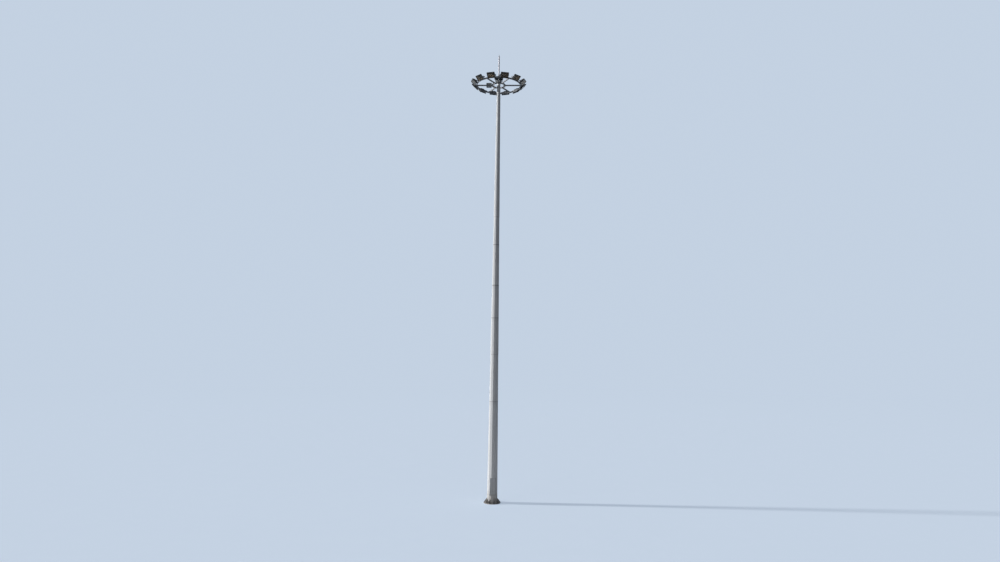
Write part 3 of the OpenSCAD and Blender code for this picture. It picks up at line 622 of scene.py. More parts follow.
def lamp_place(number):
    """The place of a floodlight's own directions, with the tilt pin's middle as origin."""
    pin = Vector(joints["tilt_" + number]["pos_m"])
    turn = math.atan2(pin.y, pin.x)
    return Matrix.Translation(pin) @ Matrix.Rotation(turn, 4, "Z") @ Matrix.Rotation(BEAM_DROP, 4, "Y")


def add_to_lamps(kind, solid, finish, smooth=30):
    """Makes a piece for the first floodlight and shares its mesh with the others."""
    first, *others = LAMPS
    piece = add_piece(kind + "_" + first, solid, finish, "lamp_" + first, smooth, place=lamp_place(first))
    for number in others:
        place_piece(kind + "_" + number, piece.data, "lamp_" + number, lamp_place(number))


print("ring middle at", round(RING_Z), "mm")

# %% [markdown]
# ## Fasteners
# A bolt head reads as one because of its six flats, the chamfer that cuts its corners round at the
# top, and a washer wider than the head. A nut adds the end of its bolt, a few threads proud.

# %% Bolt heads and nuts
def head(solid, place, across, tall, turn=0.0):
    """A hexagon head with chamfered corners, standing on z = 0; across is over corners."""
    r = across / 2
    rows = mm((r, 0), (r, tall * 0.72), (r * 0.93, tall * 0.93), (r * 0.80, tall))
    solid.add(loft([circle(wide, high, 6, turn) for wide, high in rows]), place)


def washer(solid, place, outer, hole, thick):
    r, inner = outer / 2, hole / 2
    solid.spin(place, 20, (inner, 0), (r, 0), (r, thick * 0.8), (r - thick * 0.2, thick),
               (inner, thick), wrap=True)


def bolt(solid, place, thread, tall, turn=0.0):
    """A head on its washer; both widths follow from the thread."""
    washer(solid, place, thread * 2.1, thread, thread * 0.16)
    head(solid, place @ at(0, 0, thread * 0.16), thread * 1.75, tall, turn)


def nut(solid, place, thread, proud, turn=0.0):
    """A nut on its washer, and the rounded end of the bolt with two thread lines."""
    bolt(solid, place, thread, thread * 0.8, turn)
    r, base = thread / 2, thread * 0.9
    rows = ((1, 0.25), (0.86, 0.35), (1, 0.45), (1, 0.60), (0.86, 0.70), (1, 0.80), (0.8, 1))
    solid.spin(place, 14, (r, 0), *((r * wide, base + proud * high) for wide, high in rows))


print("fasteners ready")

# %% [markdown]
# ## Weld beads
# A hand-laid weld is a row of overlapping ripples. A tube whose thickness swells and sinks along its
# path gives that look, and only its outer quarter shows in the corner between two plates. The seed is
# fixed, so the welds come out the same each time.

# %% Weld helpers
ripples = random.Random(7)


def weld(solid, place, radius, *path, closed=False, step=6):
    """A rippled bead along a path, with a ripple about every step."""
    points = [Vector(p) for p in mm(*path)]
    if closed:
        points.append(points[0])
    fine = []
    for a, b in zip(points, points[1:]):
        pieces = max(1, round((b - a).length / (step / 1000)))
        fine += [a.lerp(b, i / pieces) for i in range(pieces)]
    if not closed:
        fine.append(points[-1])
    radii = [radius / 1000 * (0.86 + 0.20 * (i % 2) + 0.10 * ripples.random()) for i in range(len(fine))]
    solid.add(tube(fine, radii, 6, closed), place)


def bead(solid, place, radius, x, y, z, step=6):
    """A straight weld; a coordinate that is a pair differs between its two ends."""
    ends = zip(*(v if isinstance(v, tuple) else (v, v) for v in (x, y, z)))
    weld(solid, place, radius, *ends, step=step)


print("weld helpers ready")

# %% [markdown]
# ## Inside a floodlight
# The pressed reflector is a loft through rounded rectangles, each a little smaller and deeper than
# the one before, with a rolled lip at the front.

# %% Reflector
def rounded_loop(x, half_y, half_z, corner, corner_points=5):
    """A rounded rectangle across the beam at depth x."""
    loop = []
    for turn, (sy, sz) in enumerate([(1, 1), (-1, 1), (-1, -1), (1, -1)]):
        centre_y, centre_z = sy * (half_y - corner), sz * (half_z - corner)
        for i in range(corner_points):
            a = math.pi / 2 * (turn + i / (corner_points - 1))
            loop.append((x, centre_y + corner * math.cos(a), centre_z + corner * math.sin(a)))
    return loop


REFLECTOR = [  # depth along the beam, half width, half height, corner radius
    (41.5, 217, 152, 12), (42.5, 213, 148, 12), (40, 210.5, 145.5, 14), (20, 208, 143, 16),
    (-2, 196, 133, 22), (-20, 179, 119, 28), (-36, 163, 106, 32), (-50, 146, 92, 34),
    (-63, 126, 78, 34), (-74, 102, 62, 32), (-83, 74, 45, 28), (-88, 44, 28, 20),
]
REFLECTOR_WALL = 1.2
inside = [rounded_loop(*row) for row in REFLECTOR[::-1]]
outside = [rounded_loop(x - REFLECTOR_WALL, *size) for x, *size in REFLECTOR[1:]]
bowl = Solid().add(loft([mm(*loop) for loop in inside + outside]))
add_to_lamps("reflector", bowl, reflector, 50)

# %% [markdown]
# ## Lamp and lampholder
# A clear outer bulb holds an arc tube on a wire frame. It lies along the pin's direction, across the
# reflector. Its screw cap sits in a ceramic holder at one end, in the saddle of a bracket that goes
# half round it.

# %% Lamp inside
BULB_X, SADDLE_R = -18, 23.5
along_pin = at(BULB_X, 0, 0, "Y")

outer_bulb = [(14.5, -108), (15, -95), (22.5, -68), (23, -20), (23, 60), (21.5, 90), (16, 108),
              (10, 118), (6, 124), (0.8, 126.5)]
inner_bulb = [(max(r - 1.1, 0.4), z - 0.6) for r, z in outer_bulb[::-1]]
bulb = Solid().spin(along_pin, 28, *outer_bulb, *inner_bulb, wrap=True)
add_to_lamps("bulb", bulb, bulb_glass, 60)

arc_tube = Solid().spin(along_pin, 16, (2, -52), (4, -50), (7.5, -43), (8, -30), (8, 30), (7.5, 43),
                        (4, 50), (2, 52))
add_to_lamps("arc_tube", arc_tube, brass, 60)

bulb_frame = Solid()
for side in (-1, 1):
    rail = ((9, -106), (12.5, -80), (14, -60), (14, 70), (9, 98), (1, 110))
    bulb_frame.bar(along_pin, 0.9, 6, *((x * side, 0, z) for x, z in rail))
    for z in both(57):
        bulb_frame.bar(along_pin, 0.8, 6, (14 * side, 0, z * 1.04), (3 * side, 0, z * 0.90))
thread = [(r, z + rise) for z in (-124.5, -121.5, -118.5) for r, rise in ((18.5, 0), (17.2, 1.5))]
bulb_frame.spin(along_pin, 20, (12, -128), (18.5, -127), *thread, (18.5, -115.5), (16, -108), (12, -107))
add_to_lamps("bulb_frame", bulb_frame, fastener, 40)

# %% Lampholder and its bracket
holder = Solid().spin(
    along_pin, 28, (12, -164), (20, -164), (22.2, -162), (22.2, -144), (21, -142), (22.2, -140),
    (22.2, -125), (21.2, -123.5), (19.2, -123.5), (19, -130), (12, -130), wrap=True)
add_to_lamps("lampholder", holder, ceramic, 40)


def strip(path, thick):
    """The outline of a bent strip: its path pushed out to both sides."""
    points = [Vector((*p, 0)) for p in path]
    left, right = [], []
    for i, p in enumerate(points):
        way = (points[min(i + 1, len(points) - 1)] - points[max(i - 1, 0)]).normalized()
        out = Vector((-way.y, way.x, 0)) * thick / 2
        left.append((p + out)[:2])
        right.append((p - out)[:2])
    return left + right[::-1]


half_turn = [math.pi * i / 10 for i in range(11)]
foot = [(-53, 40), (-49.5, 30), (-30, 25)]
saddle = foot + [(BULB_X + SADDLE_R * math.sin(a), SADDLE_R * math.cos(a)) for a in half_turn]
saddle += [(x, -z) for x, z in foot[::-1]]
bracket = Solid().extrude(HERE, "Y", (-140, -127), strip(saddle, 1.6))
for z in both(35):
    head(bracket, at(-50.5, -133.5, z, "X"), 7, 2.8)
add_to_lamps("holder_bracket", bracket, fastener)

# %% [markdown]
# ## Seal, clips and cable entry of a floodlight
# The front frame presses the glass on a rubber seal, and spring clips hold the frame on the
# casting, so that a lamp can be changed without tools. The photograph shows no cables at the
# lamps, so the gland under each one is closed with a plug.

# %% Lamp fittings
GLASS_FRONT = 50.3
seal = Solid().bar(HERE, 2, 8, *rounded_loop(GLASS_FRONT + 1.4, 225.5, 160.5, 13, 7), closed=True)
add_to_lamps("glass_seal", seal, rubber, 60)

CLIP = [(54.5, 176.2), (42, 176.6), (38, 175.8), (33, 174.2), (28, 175.8), (23.5, 176.8),
        (18, 176.4), (16, 177.8), (17.5, 179)]
clips = Solid()
for side, way in ((-1, "-Z"), (1, None)):
    for y in both(120):
        clips.extrude(HERE, "Y", (y - 16, y + 16), [(x, side * z) for x, z in strip(CLIP, 1.4)])
        clips.bar(HERE, 1.9, 10, (20, y - 19, side * 177.2), (20, y + 19, side * 177.2))
        head(clips, at(48, y, side * 176.8, way), 7.5, 2.4)
add_to_lamps("frame_clips", clips, fastener)

rim_screws = Solid()
for y in both(232.7):
    for z in (100, -100):
        rim_screws.spin(at(60, y, z, "X"), 14, (3.4, 0), (3.7, 0.5), (3.2, 1.6), (1.8, 2.1))
add_to_lamps("rim_screws", rim_screws, fastener, 40)

under = at(-25, 62.5, -145.2, "-Z")
gland = Solid()
head(gland, under, 27, 6)
gland.spin(under, 20, (9.5, 5), (11, 6), (11.8, 9), (11, 12.5), (9.8, 14.5), (8, 15.2))
add_to_lamps("gland", gland, gland_plastic)
plug = Solid().spin(under, 16, (7, 14), (7.6, 15.5), (6.8, 16.8), (3, 17.2))
add_to_lamps("gland_plug", plug, rubber, 40)

# %% [markdown]
# ## Tilt clamps
# A floodlight is aimed once and then clamped by a nut on each side, outside the yoke's arm.
# The nuts turn with the housing here, because the pin does.

# %% Tilt clamps
PIN_OUT = 267
clamps = Solid()
for side, way in ((-1, "-Y"), (1, "Y")):
    outwards = at(0, side * PIN_OUT, 0, way)
    head(clamps, outwards, 20.5, 5.5, 0.3)
    clamps.spin(outwards, 14, (6, 4), (6, 6.2), (5, 6.6), (6, 7), (5, 7.8), (4, 8.2))
add_to_lamps("tilt_clamps", clamps, fastener)

# %% [markdown]
# ## The ring's bolts
# Two bolts hold each yoke against its tab, heads outside and nuts behind, and one nut closes each end
# of a roller's axle. Bolts never stop at the same angle, so a seeded generator turns each one.

# %% Ring bolts
turns = random.Random(11)
YOKE_FACE_R, TAB_BACK_R, BOLT_RISE, BOLT_SPREAD = 1349.6, 1335.3, 80, 28
AXLE_R, AXLE_END = 333, 54

yoke_bolts = Solid()
for angle in LAMP_ANGLES:
    for y in both(BOLT_SPREAD):
        z = RING_Z + BOLT_RISE
        bolt(yoke_bolts, turned(angle, YOKE_FACE_R, y, z, "X"), 12, 5.5, turns.random())
        nut(yoke_bolts, turned(angle, TAB_BACK_R, y, z, "-X"), 12, 4, turns.random())
add_piece("yoke_bolts", yoke_bolts, fastener, "lamp_ring")

axle_nuts = Solid()
for angle in SPOKE_ANGLES:
    for y, way in ((AXLE_END, "Y"), (-AXLE_END, "-Y")):
        nut(axle_nuts, turned(angle, AXLE_R, y, RING_Z, way), 11, 3, turns.random())
add_piece("roller_axle_nuts", axle_nuts, fastener, "lamp_ring")

# %% [markdown]
# ## The ring's welds
# The spokes are welded between the flanges of both channel rings, the tabs down both sides, their
# ribs along the top, and the rollers' cheeks and the rope lugs on the inner ring's face.

# %% Ring welds
OUTER_FLANGE_R, INNER_FLANGE_R, OUTER_FACE_R, INNER_FACE_R = 1290, 410, 1335, 365
SPOKE_HALF_W, SPOKE_HALF_H = 25, 34.7
CHEEK_R, CHEEK_Y, TAB_Y, TAB_FOOT_Y, RIB_Y, LUG_Y = 361.2, 49.5, 45.8, 44, 5.2, 7.2
TAB_FOOT_Z, RIB_TOP_Z = -35.8, 40.8  # from the ring's middle height

ring_welds = Solid()
for angle in SPOKE_ANGLES:
    here = turned(angle, z=RING_Z)
    for r in (OUTER_FLANGE_R - 1, INNER_FLANGE_R + 1):
        for z in both(SPOKE_HALF_H + 1.5):
            bead(ring_welds, here, 3.6, r, both(SPOKE_HALF_W), z)
        for y in both(SPOKE_HALF_W + 1):
            bead(ring_welds, here, 2.4, r, y, both(SPOKE_HALF_H))
    for y in both(CHEEK_Y):
        bead(ring_welds, here, 3.2, CHEEK_R, y, both(21))
for angle in LAMP_ANGLES:
    here = turned(angle, z=RING_Z)
    for y in both(TAB_Y):
        bead(ring_welds, here, 3.4, OUTER_FACE_R, y, (-35, 38))
    bead(ring_welds, here, 3, OUTER_FACE_R + 1, both(TAB_FOOT_Y), TAB_FOOT_Z)
    for y in both(RIB_Y):
        bead(ring_welds, here, 2.6, (1298, 1332), y, RIB_TOP_Z)
for angle in ROPE_ANGLES:
    for y in both(LUG_Y):
        bead(ring_welds, turned(angle, z=RING_Z), 3, INNER_FACE_R - 0.5, y, both(34))
add_piece("ring_welds", ring_welds, weld_bead, "lamp_ring", 60)

# %% [markdown]
# ## Rope sockets and the junction box
# Each rope's socket turns on a pin through the lug, held by a split pin. The junction box is closed
# on a seal by six captive screws, and its glands have plugs, because no cables show there.

# %% Rope sockets
LUG_R, LUG_RISE, EYE_Y, EYE_Z = 325, 20, 8.5, 18.5
socket_pins = Solid()
for angle in ROPE_ANGLES:
    across = turned(angle, LUG_R, 0, RING_Z + LUG_RISE, "Y")
    socket_pins.spin(across, 18, (0, -23.5), (9, -23.5), (9.8, -22.5), (9.8, -16.5), (5.8, -16),
                     (5.8, 20.5), (4.5, 22), (0, 22))
    eye = [(0, EYE_Y + c, EYE_Z + s) for c, s, _ in circle(3.5, 0, 12)]
    socket_pins.bar(across, 0.9, 6, *eye, closed=True)
    for y, spread in ((-9, 3), (-10.5, -2.2)):
        socket_pins.bar(across, 0.9, 6, (0, 6, EYE_Z), (0, -6.5, EYE_Z), (spread, y, EYE_Z))
add_piece("socket_pins", socket_pins, fastener, "lamp_ring", 40)

# %% Junction box fittings
BOX_X, BOX_DROP, LID_FACE_Y, LID_BACK_Y = -574, 40, -195.3, -181.3
GLAND_Y, GLAND_Z, GLAND_GAP = -103.3, -127, 46
STRAP_Z = BOX_DROP + SPOKE_HALF_H + 4.6
box_at = turned(RING_TURN, BOX_X, 0, RING_Z - BOX_DROP)


def outline(half_x, half_z, corner, y):
    """A rounded rectangle seen along Y, as the lid's edge is."""
    return [(a, y, b) for _, a, b in rounded_loop(0, half_x, half_z, corner)]


box_screws = Solid()
for side in (-1, 1):
    for x, z in ((-142, 102), (0, 107), (142, 102)):
        spot = box_at @ at(x, LID_FACE_Y, side * z, "-Y")
        washer(box_screws, spot, 17, 8, 1.4)
        box_screws.spin(spot, 18, (0, 3), (2.8, 3), (3, 5.5), (5.6, 5.5), (6.4, 4.5), (6.6, 1), (0, 1))
for x in both(106.7):
    for apart in both(8.5):
        head(box_screws, box_at @ at(x + apart, 0, STRAP_Z), 12, 4, 0.4)
add_piece("box_screws", box_screws, fastener, "lamp_ring")

box_seal = Solid().bar(box_at, 2.2, 8, *outline(156, 116, 11, LID_BACK_Y + 1.2), closed=True)
add_piece("box_seal", box_seal, rubber, "lamp_ring", 60)

box_glands, box_plugs = Solid(), Solid()
for i in range(6):
    spot = box_at @ at((i - 2.5) * GLAND_GAP, GLAND_Y, GLAND_Z, "-Z")
    head(box_glands, spot, 29, 6, turns.random())
    box_glands.spin(spot, 20, (10.5, 5.5), (12.5, 6), (13.2, 10), (12.5, 16.5), (10.8, 19.5), (8.5, 20.5))
    box_plugs.spin(spot, 16, (8, 19), (9, 21.2), (8, 23.2), (3.4, 23.8))
add_piece("box_glands", box_glands, gland_plastic, "lamp_ring")
add_piece("box_plugs", box_plugs, rubber, "lamp_ring", 40)

# %% [markdown]
# ## Seams of the shaft
# Each length of the shaft is folded from plate, with one long seam down a flat. The dark lines in the
# photograph at about 5.7, 10.5, 12.4 and 14.8 m are seams that go all the way round. Their beads
# follow the twelve corners, which the taper gives.

# %% Shaft seams
TAPER, FOOT_HALF, LAP_GROWTH = 0.008405, 295, 6.3
HALF_FLAT = math.radians(15)
LONG_SEAMS = ((250, 8360, 94), (8450, 16400, -146), (16500, 24660, 124))  # low, high, angle


def flat_distance(z):
    """Distance from the axis to a flat's face at height z."""
    return FOOT_HALF - TAPER * z + LAP_GROWTH * sum(z > joint * 1000 for joint in SLIP_JOINTS)


def corners(apothem, z):
    """The twelve corners of the shaft's outline at one height."""
    return circle(apothem / math.cos(HALF_FLAT), z, 12, math.radians(FLAT_TURN) + HALF_FLAT)


shaft_welds = Solid()
for z in (height * 1000 for height, _ in SEAMS):
    weld(shaft_welds, HERE, 3.2, *corners(flat_distance(z) + 0.4, z), closed=True, step=10)
for low, high, angle in LONG_SEAMS:
    ends = [(flat_distance(z) + 0.2, 0, z) for z in (low, high)]
    weld(shaft_welds, turned(angle), 2.6, *ends, step=16)
add_piece("shaft_welds", shaft_welds, weld_bead, "mast", 60)

# %% [markdown]
# ## Welds and bolts at the foot
# The largest weld runs between the flange and the shaft, and each of the twelve gussets is welded
# along the flange and up the shaft. Anchor bolts belong to the foundation. An earthing boss with a
# nut stands on the flat to the right of the door.

# %% Base welds
FLANGE_TOP, GUSSET_Y, GUSSET_END_R, EARTH_Z = 31.8, 8.5, 459.8, 360

base_welds = Solid()
weld(base_welds, HERE, 6, *corners(flat_distance(30) + 2, 32.5), closed=True, step=9)
for i in range(12):
    here = turned(FLAT_TURN + 30 * i)
    for y in both(GUSSET_Y):
        bead(base_welds, here, 4.2, (303, 457), y, FLANGE_TOP, step=8)
        weld(base_welds, here, 4, *((flat_distance(z) + 1, y, z) for z in (45, 248)), step=8)
    bead(base_welds, here, 3.8, GUSSET_END_R, both(7), FLANGE_TOP)
add_piece("base_welds", base_welds, weld_bead, "mast", 60)

earth_at = turned(FLAT_TURN - 60, flat_distance(EARTH_Z) - 1, 0, EARTH_Z, "X")
earth = Solid().spin(earth_at, 24, (17, 0), (18.5, 1.5), (16, 4.5), (15, 18), (14, 19))
nut(earth, earth_at @ at(0, 0, 19), 12, 10, 0.3)
add_piece("earth_boss", earth, fastener, "mast")

# %% [markdown]
# ## Door fittings
# The door lies in front of its frame on a seal and hangs on three hinges, each with a barrel of three
# knuckles, a leaf on the door and leaves on the frame's side. The frame is welded to the flats all
# round.

# %% Door hinges, seal and welds
DOOR_Z, DOOR_HALF_W, DOOR_HALF_H, DOOR_FRONT_Y = 930, 150, 475, -321.27
FRAME_HALF_W, FRAME_HALF_H, FRAME_FRONT_Y = 155, 480, -314.97
KNUCKLES = ((-45, -15.5), (-14.5, 14.5), (15.5, 45))
door_at = turned(FLAT_TURN, z=DOOR_Z)

hinges = Solid()
for z in (-360, 0, 360):
    barrel_at = door_at @ at(-FRAME_HALF_W - 5, DOOR_FRONT_Y - 2, z)
    leaf_at = door_at @ at(0, DOOR_FRONT_Y, z)
    for low, high in KNUCKLES:
        hinges.spin(barrel_at, 20, (0, low), (6.2, low), (7.5, low + 1.5), (7.5, high - 1.5),
                    (6.2, high), (0, high))
    hinges.spin(barrel_at, 14, (0, 45), (4, 45), (4.8, 47.5), (3, 50), (0, 50.5))
    door_leaf = [(-158, -3.5), (-114, -3.5), (-112, -1.5), (-112, 0), (-158, 0)]
    hinges.extrude(leaf_at, "Z", KNUCKLES[1], door_leaf)
    for ends in KNUCKLES[::2]:
        hinges.extrude(leaf_at, "Z", ends, [(-158.2, 0), (-155, 0), (-155, 40), (-158.2, 40)])
    for x in (-140, -124):
        hinges.spin(leaf_at @ at(x, -3.5, 0, "-Y"), 14, (0, 0), (4, 0), (3.4, 1.8), (0, 2.6))
add_piece("door_hinges", hinges, fastener, "mast", 35)

edge = outline(DOOR_HALF_W + 1.2, DOOR_HALF_H + 1.2, 13, FRAME_FRONT_Y - 2.2)
add_piece("door_seal", Solid().bar(door_at, 2.6, 8, *edge, closed=True), rubber, "mast", 60)


def on_flats(x, z):
    """A point just in front of the shaft's flats, beside the door; z is from its middle."""
    apothem = flat_distance(DOOR_Z + z)
    bent = (apothem - abs(x) * math.sin(2 * HALF_FLAT)) / math.cos(2 * HALF_FLAT)
    return x, -min(apothem, bent) - 1.5, z


frame_welds = Solid()
for side in (-1, 1):
    x, z = side * (FRAME_HALF_W + 1.5), side * (FRAME_HALF_H + 1.5)
    weld(frame_welds, door_at, 4.2, *(on_flats(x, end) for end in both(FRAME_HALF_H)), step=9)
    weld(frame_welds, door_at, 4.2, *(on_flats(31 * i - FRAME_HALF_W, z) for i in range(11)), step=9)
add_piece("frame_welds", frame_welds, weld_bead, "mast", 60)

# %% [markdown]
# ## The head
# Each sheave turns on an axle with a nut at both ends, and a small keeper above it stops the rope
# from leaving the groove. The cheeks are welded to the head plate, which six screws hold on the
# shaft. The rain hood is rolled from one sheet, with a riveted lap, and bolted to three arms. A clamp
# draws its collar round the rod, with a bead of sealant above.

# %% Sheave nuts and welds
SHEAVE_R, SHEAVE_Z, CHEEK_OUT, CHEEK_FOOT_Z = 155, 24850, 22, 24716.9
ROD_FOOT_Z, SOCKET_Z = 24982.3, 24655

head_nuts, head_welds = Solid(), Solid()
for angle in ROPE_ANGLES:
    for side, way in ((1, "Y"), (-1, "-Y")):
        axle_at = turned(angle, SHEAVE_R, side * (CHEEK_OUT + 6), SHEAVE_Z, way)
        keeper_at = turned(angle, SHEAVE_R - 14, side * CHEEK_OUT, SHEAVE_Z + 102, way)
        nut(head_nuts, axle_at, 14, 3, turns.random())
        nut(head_nuts, keeper_at, 8, 2, turns.random())
        bead(head_welds, turned(angle), 3.4, (96, 159), side * (CHEEK_OUT + 1.5), CHEEK_FOOT_Z + 1.2)
for i in range(4):
    rod_foot = turned(HOOD_ANGLES[0] + 45 + 90 * i, 54.5, 0, ROD_FOOT_Z)
    bolt(head_nuts, rod_foot, 9, 6, turns.random())
for i in range(6):
    on_flat = turned(FLAT_TURN + 60 * i, flat_distance(SOCKET_Z), 0, SOCKET_Z, "X")
    head(head_nuts, on_flat, 20, 7, turns.random())
add_piece("head_nuts", head_nuts, fastener, "mast")
add_piece("head_welds", head_welds, weld_bead, "mast", 60)

# %% Rain hood fittings
SKIRT_R, SKIRT_TOP_Z, CONE_TOP_Z, COLLAR_R = 268, 24945, 25080, 42.3
SLOPE = math.atan2(CONE_TOP_Z - SKIRT_TOP_Z, SKIRT_R - COLLAR_R)
LAP_TURN, LAP_HALF_W, LAP_T = -52, 11, 1.2
CLAMP_TURN, CLAMP_R, CLAMP_Z, CLAMP_OUT = 20, 61.5, 25103, 5.6


def on_cone(angle, share):
    """A place on the cone, with Z out of the sheet; share runs from skirt 0 to collar 1."""
    r = SKIRT_R + (COLLAR_R - SKIRT_R) * share
    z = SKIRT_TOP_Z + (CONE_TOP_Z - SKIRT_TOP_Z) * share
    return turned(angle, r, 0, z) @ Matrix.Rotation(math.pi / 2 - SLOPE, 4, "Y")


hood_lap, hood_bolts = Solid(), Solid()
lap = []
for r, z in ((SKIRT_R, 24912), (SKIRT_R, SKIRT_TOP_Z), (COLLAR_R, CONE_TOP_Z)):
    under, over = (r - 2, z), (r + LAP_T, z + LAP_T)
    sides = ((under, -LAP_HALF_W), (over, -LAP_HALF_W), (over, LAP_HALF_W), (under, LAP_HALF_W))
    lap.append(mm(*((x, y, height) for (x, height), y in sides)))
hood_lap.add(loft(lap), turned(LAP_TURN))
for i in range(9):
    hood_lap.spin(on_cone(LAP_TURN, 0.05 + 0.9 * i / 8), 12, (0, 1.2), (3.4, 1.2), (3, 2.6),
                  (1.4, 3.4), (0, 3.5))
hood_lap.spin(HERE, 40, (42.4, 25084), (45, 25084), (45.4, 25086), (45.4, 25091), (42.4, 25093))
EAR = [(50, 25096), (66, 25096), (69, 25099), (69, 25107), (66, 25110), (50, 25110)]
for y in both(4):
    hood_lap.extrude(turned(CLAMP_TURN), "Y", (y - 1.6, y + 1.6), EAR)
bolt(hood_bolts, turned(CLAMP_TURN, CLAMP_R, -CLAMP_OUT, CLAMP_Z, "-Y"), 6, 3.5, 0.5)
nut(hood_bolts, turned(CLAMP_TURN, CLAMP_R, CLAMP_OUT, CLAMP_Z, "Y"), 6, 3, 0.2)
for angle in HOOD_ANGLES:
    bolt(hood_bolts, on_cone(angle, 0.168), 9, 5, turns.random())
add_piece("hood_lap", hood_lap, hood_steel, "mast", 40)
add_piece("hood_bolts", hood_bolts, fastener, "mast")

sealant = Solid().spin(HERE, 40, (37.5, 25119), (42.5, 25119.5), (41.8, 25123.5), (39.2, 25127.5),
                       (37.5, 25129))
add_piece("rod_sealant", sealant, rubber, "mast", 60)
rod_weld = Solid()
weld(rod_weld, HERE, 2.4, *circle(37.9, 26275, 40), closed=True)
add_piece("rod_weld", rod_weld, weld_bead, "mast", 60)

# %% [markdown]
# ## Stranded rope
# A hoist rope is six strands laid round a core. Each strand is a thin tube whose path winds
# round the rope's own line. The outer diameter stays that of the solid, 10 mm, so the rope
# still fits its groove.

# %% Rope helper
ROPE_R, STRAND_R, LAY = 0.0050, 0.0018, 0.062  # metres, as the path is
STRANDS, PIECES_PER_LAY = 6, 14


def stranded(solid, path, place=HERE):
    """Six strands round a core, along a path of points in metres."""
    fine, along = [], [0.0]
    for a, b in zip(path, path[1:]):
        a, b = Vector(a), Vector(b)
        pieces = math.ceil((b - a).length / (LAY / PIECES_PER_LAY))
        fine += [a.lerp(b, i / pieces) for i in range(pieces)]
    fine.append(Vector(path[-1]))
    for a, b in zip(fine, fine[1:]):
        along.append(along[-1] + (b - a).length)
    frames = frames_along(fine)
    for strand in range(STRANDS):
        helix = []
        for (p, side, up), s in zip(frames, along):
            a = math.tau * (strand / STRANDS + s / LAY)
            helix.append(p + (side * math.cos(a) + up * math.sin(a)) * (ROPE_R - STRAND_R))
        solid.add(tube(helix, STRAND_R, 6), place)
    return solid.add(tube(fine, ROPE_R - 1.6 * STRAND_R, 6), place)


print("rope helper ready")

# %% [markdown]
# ## The free ropes
# From the sockets on the ring each rope leans in to the outside of its sheave. This part gets longer
# when the ring goes down. Each piece here is straight and belongs to no body.

# %% Hoist ropes
LEAN, SOCKET_LEN, ROPE_END = math.radians(14.02), 90, 361
for i, angle in enumerate(ROPE_ANGLES):
    lug = turned(angle, LUG_R, 0, RING_Z + LUG_RISE)
    ends = mm(*((-math.sin(LEAN) * s, 0, math.cos(LEAN) * s) for s in (SOCKET_LEN - 4, ROPE_END)))
    low, high = (lug @ Vector(end) for end in ends)
    free = stranded(Solid(), [low, high])
    piece = add_piece("hoist_rope_%d" % (i + 1), free, rope_wire, None, 60)
    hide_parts("hoist_ropes")
    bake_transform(piece)

# %% [markdown]
# ## Ropes over the sheaves and inside the shaft
# Over each sheave the rope follows the groove's pitch circle and drops inside the shaft,
# where nobody can see the strands, so it becomes a plain bar as far as the plate that couples
# the three ropes. One rope goes on down the mast's axis and lies on the winch's drum in neat
# turns, so the drum's own axis stands its radius farther back.

# %% Fixed ropes
PITCH_R, COUPLING_Z, WINCH_Z, DRUM_R, PLAIN_FROM_Z = 85, 1180, 800, 75, 24600
DROP_R = SHEAVE_R - PITCH_R
DRUM_Y = DRUM_R + 5.3  # the rope's own radius and a little play
DRUM_TURNS, TURN_PITCH, TURN_STEPS = 9, 10.8, 32

runs = Solid()
bend = [LEAN + (math.pi - LEAN) * i / 40 for i in range(41)]
over = [(SHEAVE_R + PITCH_R * math.cos(a), 0, SHEAVE_Z + PITCH_R * math.sin(a)) for a in bend]
for angle in ROPE_ANGLES:
    stranded(runs, mm(*over, (DROP_R, 0, PLAIN_FROM_Z)), turned(angle))
    runs.bar(turned(angle), ROPE_R * 1000, 10, (DROP_R, 0, PLAIN_FROM_Z + 4), (DROP_R, 0, COUPLING_Z))
coil = []
for i in range(1, DRUM_TURNS * TURN_STEPS + 1):
    a = math.tau * i / TURN_STEPS
    coil.append((-TURN_PITCH * i / TURN_STEPS, DRUM_Y * (1 - math.cos(a)), WINCH_Z - DRUM_Y * math.sin(a)))
stranded(runs, mm((0, 0, COUPLING_Z), (0, 0, WINCH_Z), *coil))
ropes = add_piece("rope_runs_stranded", runs, rope_wire, "mast", 60)
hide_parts("rope_runs")

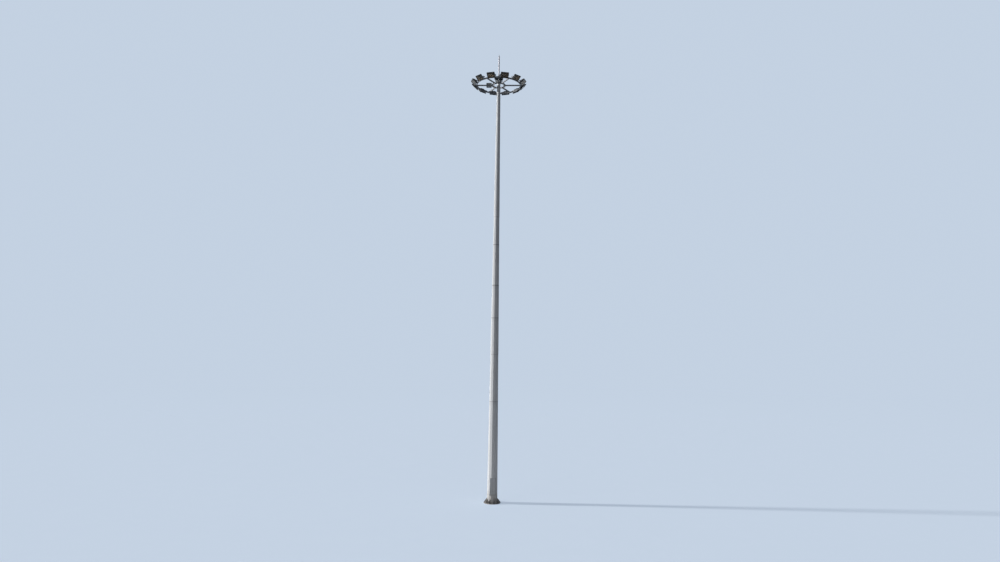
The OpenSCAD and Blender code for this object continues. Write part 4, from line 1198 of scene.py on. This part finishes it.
# %% Rope coupling
FERRULE = [(5.5, 0), (13, 0), (13, 12), (9.5, 14), (9.5, 50), (7.5, 58), (5.5, 60)]
coupling = Solid().spin(at(0, 0, COUPLING_Z), 40, (0, -10), (86, -10), (90, -6), (90, 6), (86, 10), (0, 10))
for angle in ROPE_ANGLES:
    coupling.spin(turned(angle, DROP_R, 0, COUPLING_Z + 10), 18, *FERRULE)
    head(coupling, turned(angle, DROP_R, 0, COUPLING_Z - 19), 24, 9)
coupling.spin(at(0, 0, COUPLING_Z - 10), 20, *((r * 1.3, -z) for r, z in FERRULE))
add_piece("rope_coupling", coupling, dark_steel, "mast", 35)

# %% [markdown]
# ## The winch's fittings
# The drum's shaft ends in a worm gearbox on one side and a bearing on the other, both bolted to the
# side plates. A square stub on the gearbox takes the handle.

# %% Winch fittings
SIDE_OUT = 134
COVER = [(78, 0), (78, 6), (70, 9), (64, 30), (58, 38), (30, 42), (22, 50)]
BEARING = [(48, 0), (48, 6), (36, 10), (32, 22), (20, 26)]
COVER_BOLT_R, BEARING_BOLT_R = 71, 42

winch_bits, winch_bolts = Solid(), Solid()
for x, way, profile, bolt_r in ((SIDE_OUT, "X", COVER, COVER_BOLT_R),
                                (-SIDE_OUT, "-X", BEARING, BEARING_BOLT_R)):
    spot = at(x, DRUM_Y, WINCH_Z, way)
    winch_bits.spin(spot, 40, *profile)
    for i in range(6):
        head(winch_bolts, spot @ turned(60 * i + 30, bolt_r, 0, 6), 11, 4.5, turns.random())
stub = at(SIDE_OUT + 20, DRUM_Y - 55, WINCH_Z, "-Y")
winch_bits.spin(stub, 24, (20, -10), (20, 22), (16, 26), (13, 30))
winch_bits.extrude(stub, "Z", (28, 52), [(8.5, 8.5), (-8.5, 8.5), (-8.5, -8.5), (8.5, -8.5)])
add_piece("winch_gearbox", winch_bits, dark_steel, "mast", 35)
add_piece("winch_bolts", winch_bolts, fastener, "mast")

# %% [markdown]
# ## Finish
# The CAD model's box and the box round everything shown are printed side by side.
# Nothing that was added may stand outside the CAD model's box.

# %% Measure and finish
full_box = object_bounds()
for kind, box in (("CAD", cad_box), ("visual", full_box)):
    print(kind, "box", [[round(v, 4) for v in corner] for corner in box])
